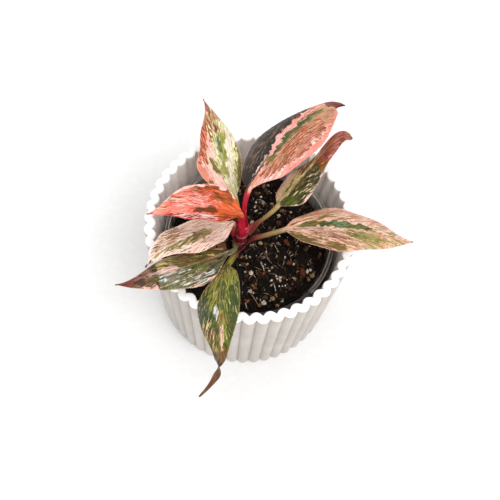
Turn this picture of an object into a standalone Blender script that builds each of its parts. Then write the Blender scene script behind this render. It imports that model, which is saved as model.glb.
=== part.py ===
"""A young fire phoenix philodendron: eight variegated leaves on a short red stem, rooted in
potting mix in a clear nursery pot, which stands in a white fluted cover pot.

Metres, +Z up. The origin is the middle of the cover pot's flat base, and -Y is the front."""

import dataclasses
import math
import random

import bmesh
import bpy
import numpy as np
from mathutils import Vector, noise

# Clearance between pieces that touch
GAP = 0.0003

# Edges flatter than this are shaded smooth
SMOOTH_ANGLE = math.radians(40)

# Cover pot: a straight wall of constant thickness, waved into flutes all round
POT_HEIGHT = 0.067
POT_RADIUS = 0.0411
POT_WALL = 0.003
POT_FLOOR = 0.004
POT_RIM_ROUND = 0.0006
FLUTES = 48
FLUTE_DEPTH = 0.0015
FLUTE_SIDES = 4
FLUTE_TURN = math.radians(1.3)

# Nursery pot: thin, tapered, with a rolled rim and drain holes
LINER_HEIGHT = 0.0495
LINER_RIM_RADIUS = 0.0345
LINER_TOP_RADIUS = 0.0336
LINER_BASE_RADIUS = 0.027
LINER_WALL = 0.0007
LINER_RIM_DROP = 0.0022
LINER_SIDES = 48
DRAIN_HOLES = 6
DRAIN_HOLE_RADIUS = 0.003
DRAIN_HOLE_SIDES = 12
DRAIN_RING_RADIUS = 0.016

# Potting mix: a gently uneven top with grains half sunk in it
SOIL_TOP = 0.0500
SOIL_SWELL = 0.0016
SOIL_SWELL_SIZE = 0.011
SOIL_SWELL_ROUGHNESS = 1.0
SOIL_SWELL_SPACING = 2.0
SOIL_SWELL_OCTAVES = 3
SOIL_EDGE_CLEARANCE = 0.0004
SOIL_RINGS = 13
SOIL_LUMPS = 34
SOIL_LUMP_RADII = (0.0006, 0.0014)
SOIL_LUMP_SPREAD = (0.0076, 0.0278)
SOIL_LUMP_UNEVENNESS = (0.8, 1.2)
SOIL_CLEAR_ROUND_STEM = 0.010

# Stem: a short leaning shoot with a ridge at each leaf scar
STEM_FOOT = Vector((-0.0045, -0.0037, 0.0445))
STEM_TOP = Vector((-0.0028, -0.0024, 0.0663))
STEM_RADII = (0.0030, 0.0025)
STEM_SCARS = (0.30, 0.52, 0.74, 0.93)
STEM_SCAR_RISE = 0.0003
STEM_SCAR_SPREAD = 0.02
STEM_SIDES = 14
STEM_RINGS = 24

# Leaves: each a thin blade with a rib under it, and a stalk that sheathes the stem at its foot
BLADE_THICKNESS = 0.0007
BLADE_STATIONS = 24
MIDRIB_STEPS = 240
ACROSS = 8
RIB_HALF_WIDTH = 0.0009
TIP_HALF_WIDTH = 0.0004
FOLD_FADE = 0.5
WAVE_HEIGHT = 0.0006
WAVE_SLANT = 2
BLADE_EASE = 0.15
LOBE_RISE = (0.0, 0.2)
LOBE_FALL = (0.30, 0.55)
STALK_STATIONS = 9
STALK_HALF_WIDTH = 0.0010
STALK_DEPTH = 0.0013
STALK_FADE = 1.4
STALK_PULL_AT_FOOT = 0.30
STALK_PULL_AT_BLADE = 0.35
STALK_SPREAD = 1.25
SHEATH_HALF_WIDTH = 0.0019
SHEATH_THINNING = 0.6
SHEATH_SPAN = (0.1, 0.6)
SHEATH_FOLD = 35
SHEATH_FOLD_RISE = (0.1, 0.5)
SHEATH_FOLD_FALL = (0.6, 1.0)
SHEATH_FOOT_FOLD = 12

# Papery remains of old leaf sheaths at the stem's foot
SCRAP_LENGTH = 0.0085
SCRAP_WIDTH = 0.0050
SCRAP_THICKNESS = 0.0006
SCRAP_END_WIDTH = 0.55
SCRAP_CURL = 0.0009
SCRAP_CURLS = 1.2
SCRAP_TURN = 20
SCRAP_PLACE = Vector((-0.0130, -0.0070, 0.0508))
SCRAP_STATIONS = 9
SCRAP_ACROSS = 5


@dataclasses.dataclass
class Leaf:
    """One leaf. Angles are in degrees: heading is from +X towards +Y, pitch is up from level,
    and roll lifts the left margin. Each has the change over the blade's length beside it. A
    lobe widens one margin near the base: the left one if it is above 0, or the right one."""

    name: str
    foot_height: float
    foot_side: float
    base: tuple
    length: float
    width: float
    heading: float
    turn: float
    pitch: float
    droop: float
    roll: float = 0
    fold: float = 10
    arch: float = 0.1
    skew: float = 0
    blunt: float = 0.70
    taper: float = 1.15
    drip_tip: float = 0
    lobe: float = 0
    hook: float = 0
    nod: float = 0
    hook_from: float = 0.78
    twist: float = 0
    twist_from: float = 0.60
    twist_to: float = 0.80
    waves: float = 2.5
    stalk_rise: float = 0.6
    stalk_lift: float = 1.0


LEAVES = (
    Leaf("leaf_back_left", 0.0600, 105, (-0.0073, 0.0074, 0.0713), 0.0433, 0.0170,
         heading=120, turn=-15, pitch=16, droop=-20, roll=-16, fold=26, arch=0.02, skew=0.04,
         blunt=0.82, taper=1.43, drip_tip=-0.05, lobe=0.15, hook=20, nod=21, waves=3.0),
    Leaf("leaf_back_right", 0.0670, 70, (-0.0021, 0.0032, 0.0853), 0.0586, 0.0266,
         heading=73, turn=-34, pitch=12, droop=-32, roll=-27, fold=15, arch=0.44, skew=-0.08,
         blunt=0.72, taper=1.02, drip_tip=0.05, lobe=0.09, hook=-68, nod=34, hook_from=0.86,
         waves=2.0),
    Leaf("leaf_right_twisted", 0.0575, 45, (0.0096, 0.0080, 0.0665), 0.0462, 0.0177,
         heading=55, turn=-2, pitch=18, droop=-4, roll=-26, fold=2, arch=0.31, skew=-0.09,
         blunt=0.94, taper=4.40, drip_tip=0.30, lobe=0.25, hook=-40, nod=-74, hook_from=0.72,
         twist=41, twist_from=0.50, twist_to=0.80, stalk_rise=0.0, stalk_lift=0.35),
    Leaf("leaf_right", 0.0545, -18, (0.0133, -0.0019, 0.0665), 0.0491, 0.0193,
         heading=6, turn=-15, pitch=20, droop=-37, roll=-10, fold=14, arch=0.23, skew=-0.02,
         blunt=0.79, taper=1.13, drip_tip=-0.04, hook=7, nod=24),
    Leaf("leaf_left_red", 0.0640, 262, (-0.0039, -0.0036, 0.0777), 0.0348, 0.0172,
         heading=172, turn=36, pitch=16, droop=-29, roll=10, fold=22, arch=-0.05,
         blunt=0.83, taper=1.29, drip_tip=-0.10, lobe=0.06, hook=-18, stalk_rise=3.0),
    Leaf("leaf_left_peach", 0.0575, 177, (-0.0067, -0.0029, 0.0688), 0.0417, 0.0195,
         heading=212, turn=26, pitch=20, droop=9, roll=26, fold=-1, arch=0.04, skew=-0.03,
         blunt=0.97, taper=1.24, drip_tip=-0.11, hook=3, nod=-52, stalk_rise=3.0, stalk_lift=0.85),
    Leaf("leaf_front_left", 0.0553, 238, (-0.0070, -0.0162, 0.0711), 0.0422, 0.0152,
         heading=212, turn=-10, pitch=10, droop=-17, roll=10, fold=-2, arch=0.22, skew=0.04,
         blunt=0.98, taper=1.37, drip_tip=-0.06, lobe=0.13, hook=-15, nod=-1, stalk_rise=1.0),
    Leaf("leaf_front_hanging", 0.0515, 282, (-0.0072, -0.0171, 0.0613), 0.0618, 0.0208,
         heading=264, turn=24, pitch=67, droop=-115, roll=44, fold=1, arch=0.17, skew=-0.26,
         blunt=2.38, taper=3.12, drip_tip=0.06, lobe=-0.09, hook=-56, nod=42, hook_from=0.68,
         twist=132, twist_from=0.77, twist_to=0.90, stalk_rise=0.0),
)

# Base colour, roughness, metallic
COLOURS = {
    "glazed_white": ((0.86, 0.84, 0.80), 0.35, 0.0),
    "clear_plastic": ((0.60, 0.62, 0.62), 0.30, 0.0),
    "potting_mix": ((0.025, 0.017, 0.012), 0.95, 0.0),
    "red_stem": ((0.28, 0.015, 0.035), 0.40, 0.0),
    "dried_sheath": ((0.42, 0.22, 0.12), 0.80, 0.0),
    "leaf_back_left": ((0.62, 0.60, 0.34), 0.40, 0.0),
    "leaf_back_right": ((0.72, 0.24, 0.17), 0.40, 0.0),
    "leaf_right_twisted": ((0.28, 0.30, 0.10), 0.40, 0.0),
    "leaf_right": ((0.70, 0.36, 0.26), 0.40, 0.0),
    "leaf_left_red": ((0.80, 0.12, 0.06), 0.40, 0.0),
    "leaf_left_peach": ((0.78, 0.42, 0.32), 0.40, 0.0),
    "leaf_front_left": ((0.10, 0.13, 0.06), 0.35, 0.0),
    "leaf_front_hanging": ((0.14, 0.24, 0.04), 0.35, 0.0),
}


def clear_scene():
    for obj in list(bpy.data.objects):
        bpy.data.objects.remove(obj)


def material(name):
    colour, roughness, metallic = COLOURS[name]
    made = bpy.data.materials.new(name)
    made.use_nodes = True
    shader = made.node_tree.nodes["Principled BSDF"]
    shader.inputs["Base Color"].default_value = (*colour, 1.0)
    shader.inputs["Roughness"].default_value = roughness
    shader.inputs["Metallic"].default_value = metallic
    made.diffuse_color = (*colour, 1.0)
    return made


def add_object(name, points, faces, material_name):
    mesh = bpy.data.meshes.new(name)
    mesh.from_pydata([tuple(point) for point in points], [], faces)
    mesh.materials.append(material(material_name))
    mesh.shade_smooth()
    mesh.set_sharp_from_angle(angle=SMOOTH_ANGLE)
    obj = bpy.data.objects.new(name, mesh)
    bpy.context.scene.collection.objects.link(obj)
    return obj


def loft(name, rings, material_name):
    """A closed body through rings of equal count, capped at both ends. Seen along the way that
    the rings run, each goes clockwise."""
    count = len(rings[0])
    points = [point for ring in rings for point in ring]
    faces = []
    for i in range(len(rings) - 1):
        low = i * count
        high = low + count
        for j in range(count):
            k = (j + 1) % count
            faces.append((low + j, low + k, high + k, high + j))
    faces.append(tuple(reversed(range(count))))
    faces.append(tuple(range(len(points) - count, len(points))))
    return add_object(name, points, faces, material_name)


def circle(radius, height, sides, middle=(0.0, 0.0)):
    ring = []
    for i in range(sides):
        angle = 2 * math.pi * i / sides
        x = middle[0] + radius * math.cos(angle)
        y = middle[1] + radius * math.sin(angle)
        ring.append(Vector((x, y, height)))
    return ring


def apply_boolean(obj, operation, cutters):
    """Joins or cuts obj with each object of the list, then removes them."""
    helpers = bpy.data.collections.new("helpers")
    bpy.context.scene.collection.children.link(helpers)
    for cutter in cutters:
        bpy.context.scene.collection.objects.unlink(cutter)
        helpers.objects.link(cutter)
    modifier = obj.modifiers.new(operation.title(), "BOOLEAN")
    modifier.operation = operation
    modifier.operand_type = "COLLECTION"
    modifier.collection = helpers
    bpy.context.view_layer.objects.active = obj
    bpy.ops.object.modifier_apply(modifier=modifier.name)
    for cutter in cutters:
        bpy.data.objects.remove(cutter)
    bpy.data.collections.remove(helpers)


def flute_ring(inset, height, inner):
    """A waved ring. The outside bulges between its cusps, and the inside half a flute on."""
    ring = []
    steps = FLUTES * FLUTE_SIDES
    for i in range(steps):
        angle = 2 * math.pi * i / steps
        if inner:
            middle = POT_RADIUS - POT_WALL
            radius = middle - FLUTE_DEPTH * abs(math.cos(FLUTES * angle / 2)) + inset
        else:
            middle = POT_RADIUS - FLUTE_DEPTH
            radius = middle + FLUTE_DEPTH * abs(math.sin(FLUTES * angle / 2)) - inset
        turned = angle + FLUTE_TURN - math.pi / 2
        ring.append(Vector((radius * math.cos(turned), radius * math.sin(turned), height)))
    return ring


def build_pot():
    shoulder = POT_HEIGHT - POT_RIM_ROUND
    rings = [
        flute_ring(0, 0, inner=False),
        flute_ring(0, shoulder, inner=False),
        flute_ring(POT_RIM_ROUND, POT_HEIGHT, inner=False),
        flute_ring(POT_RIM_ROUND, POT_HEIGHT, inner=True),
        flute_ring(0, shoulder, inner=True),
        flute_ring(0, POT_FLOOR, inner=True),
    ]
    return loft("pot", rings, "glazed_white")


def liner_radius(height):
    """The nursery pot's outer radius at this height above the ground."""
    share = (height - liner_base()) / LINER_HEIGHT
    return LINER_BASE_RADIUS + (LINER_TOP_RADIUS - LINER_BASE_RADIUS) * share


def liner_base():
    return POT_FLOOR + GAP


def build_nursery_pot():
    base = liner_base()
    top = base + LINER_HEIGHT
    rim = top - LINER_RIM_DROP
    inside = base + LINER_WALL
    profile = (
        (LINER_BASE_RADIUS, base),
        (liner_radius(rim), rim),
        (LINER_RIM_RADIUS, rim),
        (LINER_RIM_RADIUS, top),
        (liner_radius(top) - LINER_WALL, top),
        (liner_radius(inside) - LINER_WALL, inside),
    )
    rings = [circle(radius, height, LINER_SIDES) for radius, height in profile]
    liner = loft("nursery_pot", rings, "clear_plastic")
    holes = []
    for i in range(DRAIN_HOLES):
        angle = 2 * math.pi * i / DRAIN_HOLES
        middle = (DRAIN_RING_RADIUS * math.cos(angle), DRAIN_RING_RADIUS * math.sin(angle))
        ends = [
            circle(DRAIN_HOLE_RADIUS, base - LINER_WALL, DRAIN_HOLE_SIDES, middle),
            circle(DRAIN_HOLE_RADIUS, inside + LINER_WALL, DRAIN_HOLE_SIDES, middle),
        ]
        holes.append(loft(f"drain_hole_{i}", ends, "clear_plastic"))
    apply_boolean(liner, "DIFFERENCE", holes)
    return liner


def soil_height(x, y):
    place = Vector((x, y, 0)) / SOIL_SWELL_SIZE
    swell = noise.fractal(place, SOIL_SWELL_ROUGHNESS, SOIL_SWELL_SPACING, SOIL_SWELL_OCTAVES)
    return SOIL_TOP + SOIL_SWELL * swell


def soil_surface(hole):
    """Rings from the stem's hole out to the nursery pot's wall."""
    edge_radius = liner_radius(SOIL_TOP) - LINER_WALL - GAP - SOIL_EDGE_CLEARANCE
    rings = []
    for i in range(SOIL_RINGS):
        share = i / (SOIL_RINGS - 1)
        radius = hole + (edge_radius - hole) * share
        middle = ((1 - share) * STEM_FOOT.x, (1 - share) * STEM_FOOT.y)
        ring = circle(radius, 0, LINER_SIDES, middle)
        for point in ring:
            point.z = soil_height(point.x, point.y)
        rings.append(ring)
    return rings


def build_soil():
    hole = STEM_RADII[0] + GAP
    hole_floor = STEM_FOOT.z - GAP
    base = liner_base() + LINER_WALL + GAP
    base_radius = liner_radius(base) - LINER_WALL - GAP
    middle = (STEM_FOOT.x, STEM_FOOT.y)
    rings = [circle(base_radius, base, LINER_SIDES)]
    rings += reversed(soil_surface(hole))
    rings.append(circle(hole, hole_floor, LINER_SIDES, middle))
    soil = loft("soil", rings, "potting_mix")
    apply_boolean(soil, "UNION", soil_lumps())
    return soil


def soil_lumps():
    """Grains of perlite and bark, half sunk in the mix."""
    draw = random.Random(4)
    lumps = []
    while len(lumps) < SOIL_LUMPS:
        radius = draw.uniform(*SOIL_LUMP_RADII)
        distance = math.sqrt(draw.uniform(SOIL_LUMP_SPREAD[0] ** 2, SOIL_LUMP_SPREAD[1] ** 2))
        angle = draw.uniform(0, 2 * math.pi)
        x = distance * math.cos(angle)
        y = distance * math.sin(angle)
        if math.hypot(x - STEM_FOOT.x, y - STEM_FOOT.y) < SOIL_CLEAR_ROUND_STEM:
            continue
        lumps.append(lump(f"lump_{len(lumps)}", (x, y), radius, draw))
    return lumps


def lump(name, place, radius, draw):
    body = bmesh.new()
    bmesh.ops.create_icosphere(body, subdivisions=1, radius=radius)
    middle = Vector((*place, soil_height(*place)))
    for vertex in body.verts:
        vertex.co = vertex.co * draw.uniform(*SOIL_LUMP_UNEVENNESS) + middle
    mesh = bpy.data.meshes.new(name)
    body.to_mesh(mesh)
    body.free()
    obj = bpy.data.objects.new(name, mesh)
    bpy.context.scene.collection.objects.link(obj)
    return obj


def stem_axis(height):
    share = (height - STEM_FOOT.z) / (STEM_TOP.z - STEM_FOOT.z)
    return STEM_FOOT.lerp(STEM_TOP, share), share


def stem_radius(share):
    scars = sum(math.exp(-((share - scar) / STEM_SCAR_SPREAD) ** 2) for scar in STEM_SCARS)
    plain = STEM_RADII[0] + (STEM_RADII[1] - STEM_RADII[0]) * share
    return plain - STEM_SCAR_RISE + STEM_SCAR_RISE * scars


def build_stem():
    rings = []
    for i in range(STEM_RINGS):
        height = STEM_FOOT.z + (STEM_TOP.z - STEM_FOOT.z) * i / (STEM_RINGS - 1)
        middle, share = stem_axis(height)
        rings.append(circle(stem_radius(share), height, STEM_SIDES, middle.xy))
    return loft("stem", rings, "red_stem")


def ramp(t, start, end):
    share = np.clip((t - start) / (end - start), 0, 1)
    return share * share * (3 - 2 * share)


def blade_outline(leaf, t):
    """Half width of the blade along it: an egg shape, with a slim tip drawn out of it."""
    t = np.clip(t, 0, 1)
    widest = leaf.blunt / (leaf.blunt + leaf.taper)
    peak = widest**leaf.blunt * (1 - widest) ** leaf.taper
    egg = t**leaf.blunt * (1 - t) ** leaf.taper / peak
    # This curve is at its widest two thirds of the way along
    slim = t * np.sqrt(1 - t) / (2 / 3 * math.sqrt(1 / 3))
    return leaf.width / 2 * ((1 - leaf.drip_tip) * egg + leaf.drip_tip * slim)


def lobe_share(t):
    """How much of a lobe shows: all of it near the base, and less than nothing beyond."""
    return ramp(t, *LOBE_RISE) * (1 - 2 * ramp(t, *LOBE_FALL))


def blade_frame(leaf, t):
    """Direction of the midrib, and the way to the left margin, at each share t of its length."""
    end = ramp(t, leaf.hook_from, 1)
    heading = np.radians(leaf.heading + leaf.turn * t + leaf.hook * end)
    pitch = np.radians(leaf.pitch + leaf.droop * t + leaf.nod * end)
    roll = np.radians(leaf.roll + leaf.twist * ramp(t, leaf.twist_from, leaf.twist_to))
    level = np.stack([np.cos(heading), np.sin(heading), 0 * t], axis=1)
    left = np.stack([-np.sin(heading), np.cos(heading), 0 * t], axis=1)
    up = np.array([0.0, 0.0, 1.0])
    along = np.cos(pitch)[:, None] * level + np.sin(pitch)[:, None] * up
    normal = np.cos(pitch)[:, None] * up - np.sin(pitch)[:, None] * level
    return along, np.cos(roll)[:, None] * left + np.sin(roll)[:, None] * normal


def midrib(leaf, t):
    """Points of the midrib, from adding up short steps along its direction."""
    fine = np.linspace(0, 1, MIDRIB_STEPS + 1)
    along, _ = blade_frame(leaf, fine)
    steps = (along[1:] + along[:-1]) / 2 * leaf.length / MIDRIB_STEPS
    path = np.vstack([np.zeros(3), np.cumsum(steps, axis=0)]) + np.array(leaf.base)
    return np.stack([np.interp(t, fine, path[:, axis]) for axis in range(3)], axis=1)


def stalk_line(leaf, count):
    """Points of the stalk: up beside the stem, then over to the blade's base."""
    middle, share = stem_axis(leaf.foot_height)
    side = math.radians(leaf.foot_side)
    outward = np.array([math.cos(side), math.sin(side), 0.0])
    up = np.array([0.0, 0.0, 1.0])
    along = blade_frame(leaf, np.zeros(1))[0][0]
    if leaf.foot_height > STEM_TOP.z:
        foot = np.array([*STEM_TOP.xy, STEM_TOP.z + GAP + BLADE_THICKNESS])
    else:
        offset = stem_radius(share) + GAP + BLADE_THICKNESS
        foot = np.array(middle) + outward * offset
    end = np.array(leaf.base)
    span = np.linalg.norm(end - foot)
    arrive = along + up * leaf.stalk_rise
    arrive /= np.linalg.norm(arrive)
    leave = up * leaf.stalk_lift + outward * (STALK_SPREAD - leaf.stalk_lift)
    pull_1 = foot + leave * span * STALK_PULL_AT_FOOT
    pull_2 = end - arrive * span * STALK_PULL_AT_BLADE
    s = np.linspace(0, 1, count)[:, None]
    return (
        (1 - s) ** 3 * foot
        + 3 * s * (1 - s) ** 2 * pull_1
        + 3 * s**2 * (1 - s) * pull_2
        + s**3 * end
    )


def leaf_stations(leaf):
    """For each ring of the leaf: its middle, the two ways across it, and its section's sizes."""
    stalk = stalk_line(leaf, STALK_STATIONS)[:-1]
    t = np.linspace(0, 1, BLADE_STATIONS)
    line = np.vstack([stalk, midrib(leaf, t)])
    tangent = np.gradient(line, axis=0)
    tangent /= np.linalg.norm(tangent, axis=1)[:, None]
    lead = len(stalk)
    blade_left = blade_frame(leaf, t)[1]
    side = math.radians(leaf.foot_side)
    stem_left = np.array([-math.sin(side), math.cos(side), 0.0])
    share = np.linspace(0, 1, lead, endpoint=False)[:, None]
    left = np.vstack([(1 - share) * stem_left + share * blade_left[0], blade_left])
    left -= (left * tangent).sum(axis=1)[:, None] * tangent
    left /= np.linalg.norm(left, axis=1)[:, None]
    normal = np.cross(tangent, left)
    t_all = np.concatenate([np.zeros(lead), t])
    s_all = np.concatenate([np.linspace(0, 1, lead, endpoint=False), np.ones(len(t))])
    return line, left, normal, t_all, s_all


def leaf_rings(leaf):
    """Upper and lower points of each ring, from the right margin to the left one."""
    line, left, normal, t, s = leaf_stations(leaf)
    sheath = 1 - ramp(s, *SHEATH_SPAN)
    stalk = STALK_HALF_WIDTH + (SHEATH_HALF_WIDTH - STALK_HALF_WIDTH) * sheath
    fade = np.clip(1 - t, 0, 1) ** STALK_FADE
    half = np.hypot(stalk * fade, blade_outline(leaf, t)) + TIP_HALF_WIDTH * t
    wrap = SHEATH_FOLD * ramp(s, *SHEATH_FOLD_RISE) * (1 - ramp(s, *SHEATH_FOLD_FALL))
    wrap += SHEATH_FOOT_FOLD * sheath
    fold = np.radians(leaf.fold * (1 - FOLD_FADE * t) * s + wrap)
    ease = ramp(t, 0, BLADE_EASE)
    depth = STALK_DEPTH * (1 - SHEATH_THINNING * sheath) * fade
    wave_height = WAVE_HEIGHT * ease * half / (leaf.width / 2)
    upper, lower = [], []
    for v in np.linspace(-1, 1, ACROSS + 1):
        lobe = abs(leaf.lobe) * lobe_share(t) * (v * leaf.lobe > 0)
        wide = half * (1 + lobe)
        across = wide * v
        wave = wave_height * np.sin(2 * math.pi * leaf.waves * t + WAVE_SLANT * v) * v * v
        rise = abs(across) * np.sin(fold) - leaf.arch * ease * wide * v * v + wave
        side = line + left * (across * np.cos(fold) * (1 + leaf.skew * np.sign(v)))[:, None]
        rib = depth * np.exp(-((across / RIB_HALF_WIDTH) ** 2))
        upper.append(side + normal * (rise + BLADE_THICKNESS / 2)[:, None])
        lower.append(side + normal * (rise - BLADE_THICKNESS / 2 - rib)[:, None])
    return np.stack(upper, axis=1), np.stack(lower, axis=1)


def sheet_faces(stations, width):
    """Faces of a closed sheet whose upper points come before its lower ones, station by
    station. Both faces are split into triangles alike, so that they stay clear of each other."""
    under = stations * width
    faces = []
    for i in range(stations - 1):
        for j in range(width - 1):
            a = i * width + j
            b, c, d = a + 1, a + width + 1, a + width
            faces += [(a, d, c), (a, c, b)]
            faces += [(under + a, under + c, under + d), (under + a, under + b, under + c)]
        right = i * width
        left = right + width - 1
        faces.append((right, under + right, under + right + width, right + width))
        faces.append((left + width, under + left + width, under + left, left))
    last = (stations - 1) * width
    for j in range(width - 1):
        faces.append((j + 1, under + j + 1, under + j, j))
        faces.append((last + j, under + last + j, under + last + j + 1, last + j + 1))
    return faces


def build_leaf(leaf):
    upper, lower = leaf_rings(leaf)
    points = np.concatenate([upper.reshape(-1, 3), lower.reshape(-1, 3)])
    return add_object(leaf.name, points, sheet_faces(*upper.shape[:2]), leaf.name)


def scrap_point(s, v, lift):
    """A place on the curled strip: s runs along it from 0 to 1, v across it from -1 to 1."""
    along = (s - 0.5) * SCRAP_LENGTH
    bulge = SCRAP_END_WIDTH + (1 - SCRAP_END_WIDTH) * math.sin(math.pi * s)
    across = v * SCRAP_WIDTH / 2 * bulge
    curl = SCRAP_CURL * (math.sin(2 * math.pi * SCRAP_CURLS * s) + v * v)
    turn = math.radians(SCRAP_TURN)
    x = along * math.cos(turn) - across * math.sin(turn)
    y = along * math.sin(turn) + across * math.cos(turn)
    return SCRAP_PLACE + Vector((x, y, curl + lift))


def build_dried_sheath():
    """The strip as a closed body, with both faces split into triangles alike."""
    points = []
    for lift in (SCRAP_THICKNESS, 0):
        for i in range(SCRAP_STATIONS):
            for j in range(SCRAP_ACROSS):
                s = i / (SCRAP_STATIONS - 1)
                v = 2 * j / (SCRAP_ACROSS - 1) - 1
                points.append(scrap_point(s, v, lift))
    return add_object("dried_sheath", points, sheet_faces(SCRAP_STATIONS, SCRAP_ACROSS), "dried_sheath")


def main():
    clear_scene()
    build_pot()
    build_nursery_pot()
    build_soil()
    build_stem()
    build_dried_sheath()
    for leaf in LEAVES:
        build_leaf(leaf)


main()
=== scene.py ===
"""Looks of a young fire phoenix philodendron in a white fluted cover pot.

Metres, +Z up. The origin is the middle of the cover pot's flat base, and -Y is the front.
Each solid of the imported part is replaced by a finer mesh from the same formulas, except that
the stalks lie a little nearer the stem, two of them are slimmer, and the stem ends round."""

import dataclasses
import math
import random

import bmesh
import bpy
import numpy as np
from mathutils import Color, Matrix, Vector, noise


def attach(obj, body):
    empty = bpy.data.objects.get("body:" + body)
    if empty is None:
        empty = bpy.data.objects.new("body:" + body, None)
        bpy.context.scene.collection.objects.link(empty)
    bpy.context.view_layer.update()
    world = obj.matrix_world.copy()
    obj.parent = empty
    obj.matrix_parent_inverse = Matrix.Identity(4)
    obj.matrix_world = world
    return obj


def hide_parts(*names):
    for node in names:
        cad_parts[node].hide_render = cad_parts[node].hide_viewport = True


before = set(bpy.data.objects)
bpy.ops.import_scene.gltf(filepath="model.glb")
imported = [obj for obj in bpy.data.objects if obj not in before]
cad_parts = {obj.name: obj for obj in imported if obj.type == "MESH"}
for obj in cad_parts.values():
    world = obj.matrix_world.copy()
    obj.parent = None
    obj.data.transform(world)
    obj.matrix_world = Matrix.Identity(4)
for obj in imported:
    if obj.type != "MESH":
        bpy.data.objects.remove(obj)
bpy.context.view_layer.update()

BODY = "root"
MM = 0.001
SMOOTH_ANGLE = math.radians(40)
# Clearance between pieces that touch
GAP = 0.0003

# Camera: it looks steeply down on the pot from the front
CAMERA_ELEVATION = math.radians(66.4)
CAMERA_ROLL = math.radians(-6.8)
CAMERA_DISTANCE = 0.210
CAMERA_SENSOR = 36.0
CAMERA_LENS = 39.29
CAMERA_NEAR = 0.01
PHOTO_SIZE = 500
# The rim's middle lies this far right of the middle of the view, and this far above it
RIM_RIGHT = 0.00055
RIM_ABOVE = 0.01146

# Cover pot: a straight wall of constant thickness, waved into flutes all round
POT_HEIGHT = 0.067
POT_RADIUS = 0.0411
POT_WALL = 0.003
POT_FLOOR = 0.004
POT_ROUND = 0.0008
POT_ROUND_STEPS = 4
FLUTES = 48
FLUTE_DEPTH = 0.0015
FLUTE_SIDES = 20
FLUTE_TURN = math.radians(1.3)
FLUTE_NOTCH = 0.06
FLUTE_FULLNESS = 0.75

# Nursery pot: thin, tapered, with a rolled rim and drain holes
LINER_HEIGHT = 0.0495
LINER_BASE = POT_FLOOR + GAP
LINER_RIM_RADIUS = 0.0345
LINER_TOP_RADIUS = 0.0336
LINER_BASE_RADIUS = 0.027
LINER_WALL = 0.0007
LINER_RIM_DROP = 0.0022
LINER_ROUND = 0.0003
LINER_SIDES = 144
DRAIN_HOLES = 6
DRAIN_HOLE_RADIUS = 0.003
DRAIN_HOLE_SIDES = 32
DRAIN_RING_RADIUS = 0.016

# Potting mix
SOIL_TOP = 0.0500
SOIL_SWELL = 0.0016
SOIL_SWELL_SIZE = 0.011
SOIL_EDGE_CLEARANCE = 0.0004
SOIL_RINGS = 70
SOIL_GRIT = 0.0008
SOIL_GRIT_SIZE = 0.0014
# Rings beside the stem over which the grit grows
SOIL_GRIT_EASE = 3
# Fractal noises: how their heights fall off, how fast they get finer, and in how many layers
SWELL_NOISE = (1.0, 2.0, 3)
GRIT_NOISE = (0.8, 2.0, 3)
SOIL_CLEAR_ROUND_STEM = 0.0040

# Stem: a short leaning shoot with a ridge at each leaf scar
STEM_FOOT = Vector((-0.0045, -0.0037, 0.0445))
STEM_TOP = Vector((-0.0028, -0.0024, 0.0663))
STEM_RADII = (0.0030, 0.0025)
STEM_SCARS = (0.30, 0.52, 0.74, 0.93)
STEM_SCAR_RISE = 0.0003
STEM_SCAR_SPREAD = 0.02
STEM_SIDES = 48
STEM_RINGS = 90
# Its rounded end, which the newest leaf's stalk stands on
STEM_CROWN = 0.0007
STEM_CROWN_STEPS = 6

# Leaves: each a thin blade with a rib under it, and a stalk that sheathes the stem at its foot
STALK_CLEARANCE = 0.0004
BLADE_THICKNESS = 0.0004
MARGIN_THICKNESS = 0.00012
# The higher this power, the nearer to the margin the blade begins to thin
MARGIN_SHARPNESS = 6
BLADE_STATIONS = 150
MIDRIB_STEPS = 600
ACROSS = 44
RIB_HALF_WIDTH = 0.0009
TIP_HALF_WIDTH = 0.0002
FOLD_FADE = 0.5
WAVE_HEIGHT = 0.0006
WAVE_SLANT = 2
BLADE_EASE = 0.15
LOBE_RISE = (0.0, 0.2)
LOBE_FALL = (0.30, 0.55)
STALK_STATIONS = 40
STALK_HALF_WIDTH = 0.0010
STALK_DEPTH = 0.0013
STALK_CROWN = 0.0007
STALK_CROWN_END = 0.14
STALK_FADE = 1.4
STALK_PULL_AT_FOOT = 0.30
STALK_PULL_AT_BLADE = 0.35
STALK_SPREAD = 1.25
STALK_BEND_STEPS = 3
SHEATH_HALF_WIDTH = 0.0019
SHEATH_THINNING = 0.6
SHEATH_SPAN = (0.1, 0.6)
# The sheath's folds, in degrees, and where along the stalk the upper one rises and falls
SHEATH_FOLD = 35
SHEATH_FOLD_RISE = (0.1, 0.5)
SHEATH_FOLD_FALL = (0.6, 1.0)
SHEATH_FOOT_FOLD = 12
# Relief that the solids are too coarse for
GROOVE_DEPTH = 0.00028
GROOVE_HALF_WIDTH = 0.0005
QUILT_HEIGHT = 0.00009
QUILT_SPACING = 0.0016
RAG_HEIGHT = 0.020
RAG_SIZE = 0.0034
RAG_RISE = (0.05, 0.25)
# The seeds of the margins' waves lie this far to either side of the leaf's own
RAG_SHIFT = 2
# Waves that never fall in step, each with its pace and its shift for a seed
UNEVEN_WAVES = ((1, 1), (2.3, 2), (5.1, 3))
# Leaves take their noises this far apart, and the halves of one this far to either side
SEED_STEP = 9.0
HALF_STEP = 4.0
# Side veins bend towards the tip as they run out
VEIN_BEND = 90.0

# Papery remains of old leaf sheaths at the stem's foot
SCRAP_THICKNESS = 0.00025
SCRAP_END_WIDTH = 0.55
SCRAP_STATIONS = 40
SCRAP_ACROSS = 17
# Its ragged ends: two waves across the strip, each with its height and pace
SCRAP_TEAR = (0.06, 17)
SCRAP_FRAY = (0.03, 41)

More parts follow.
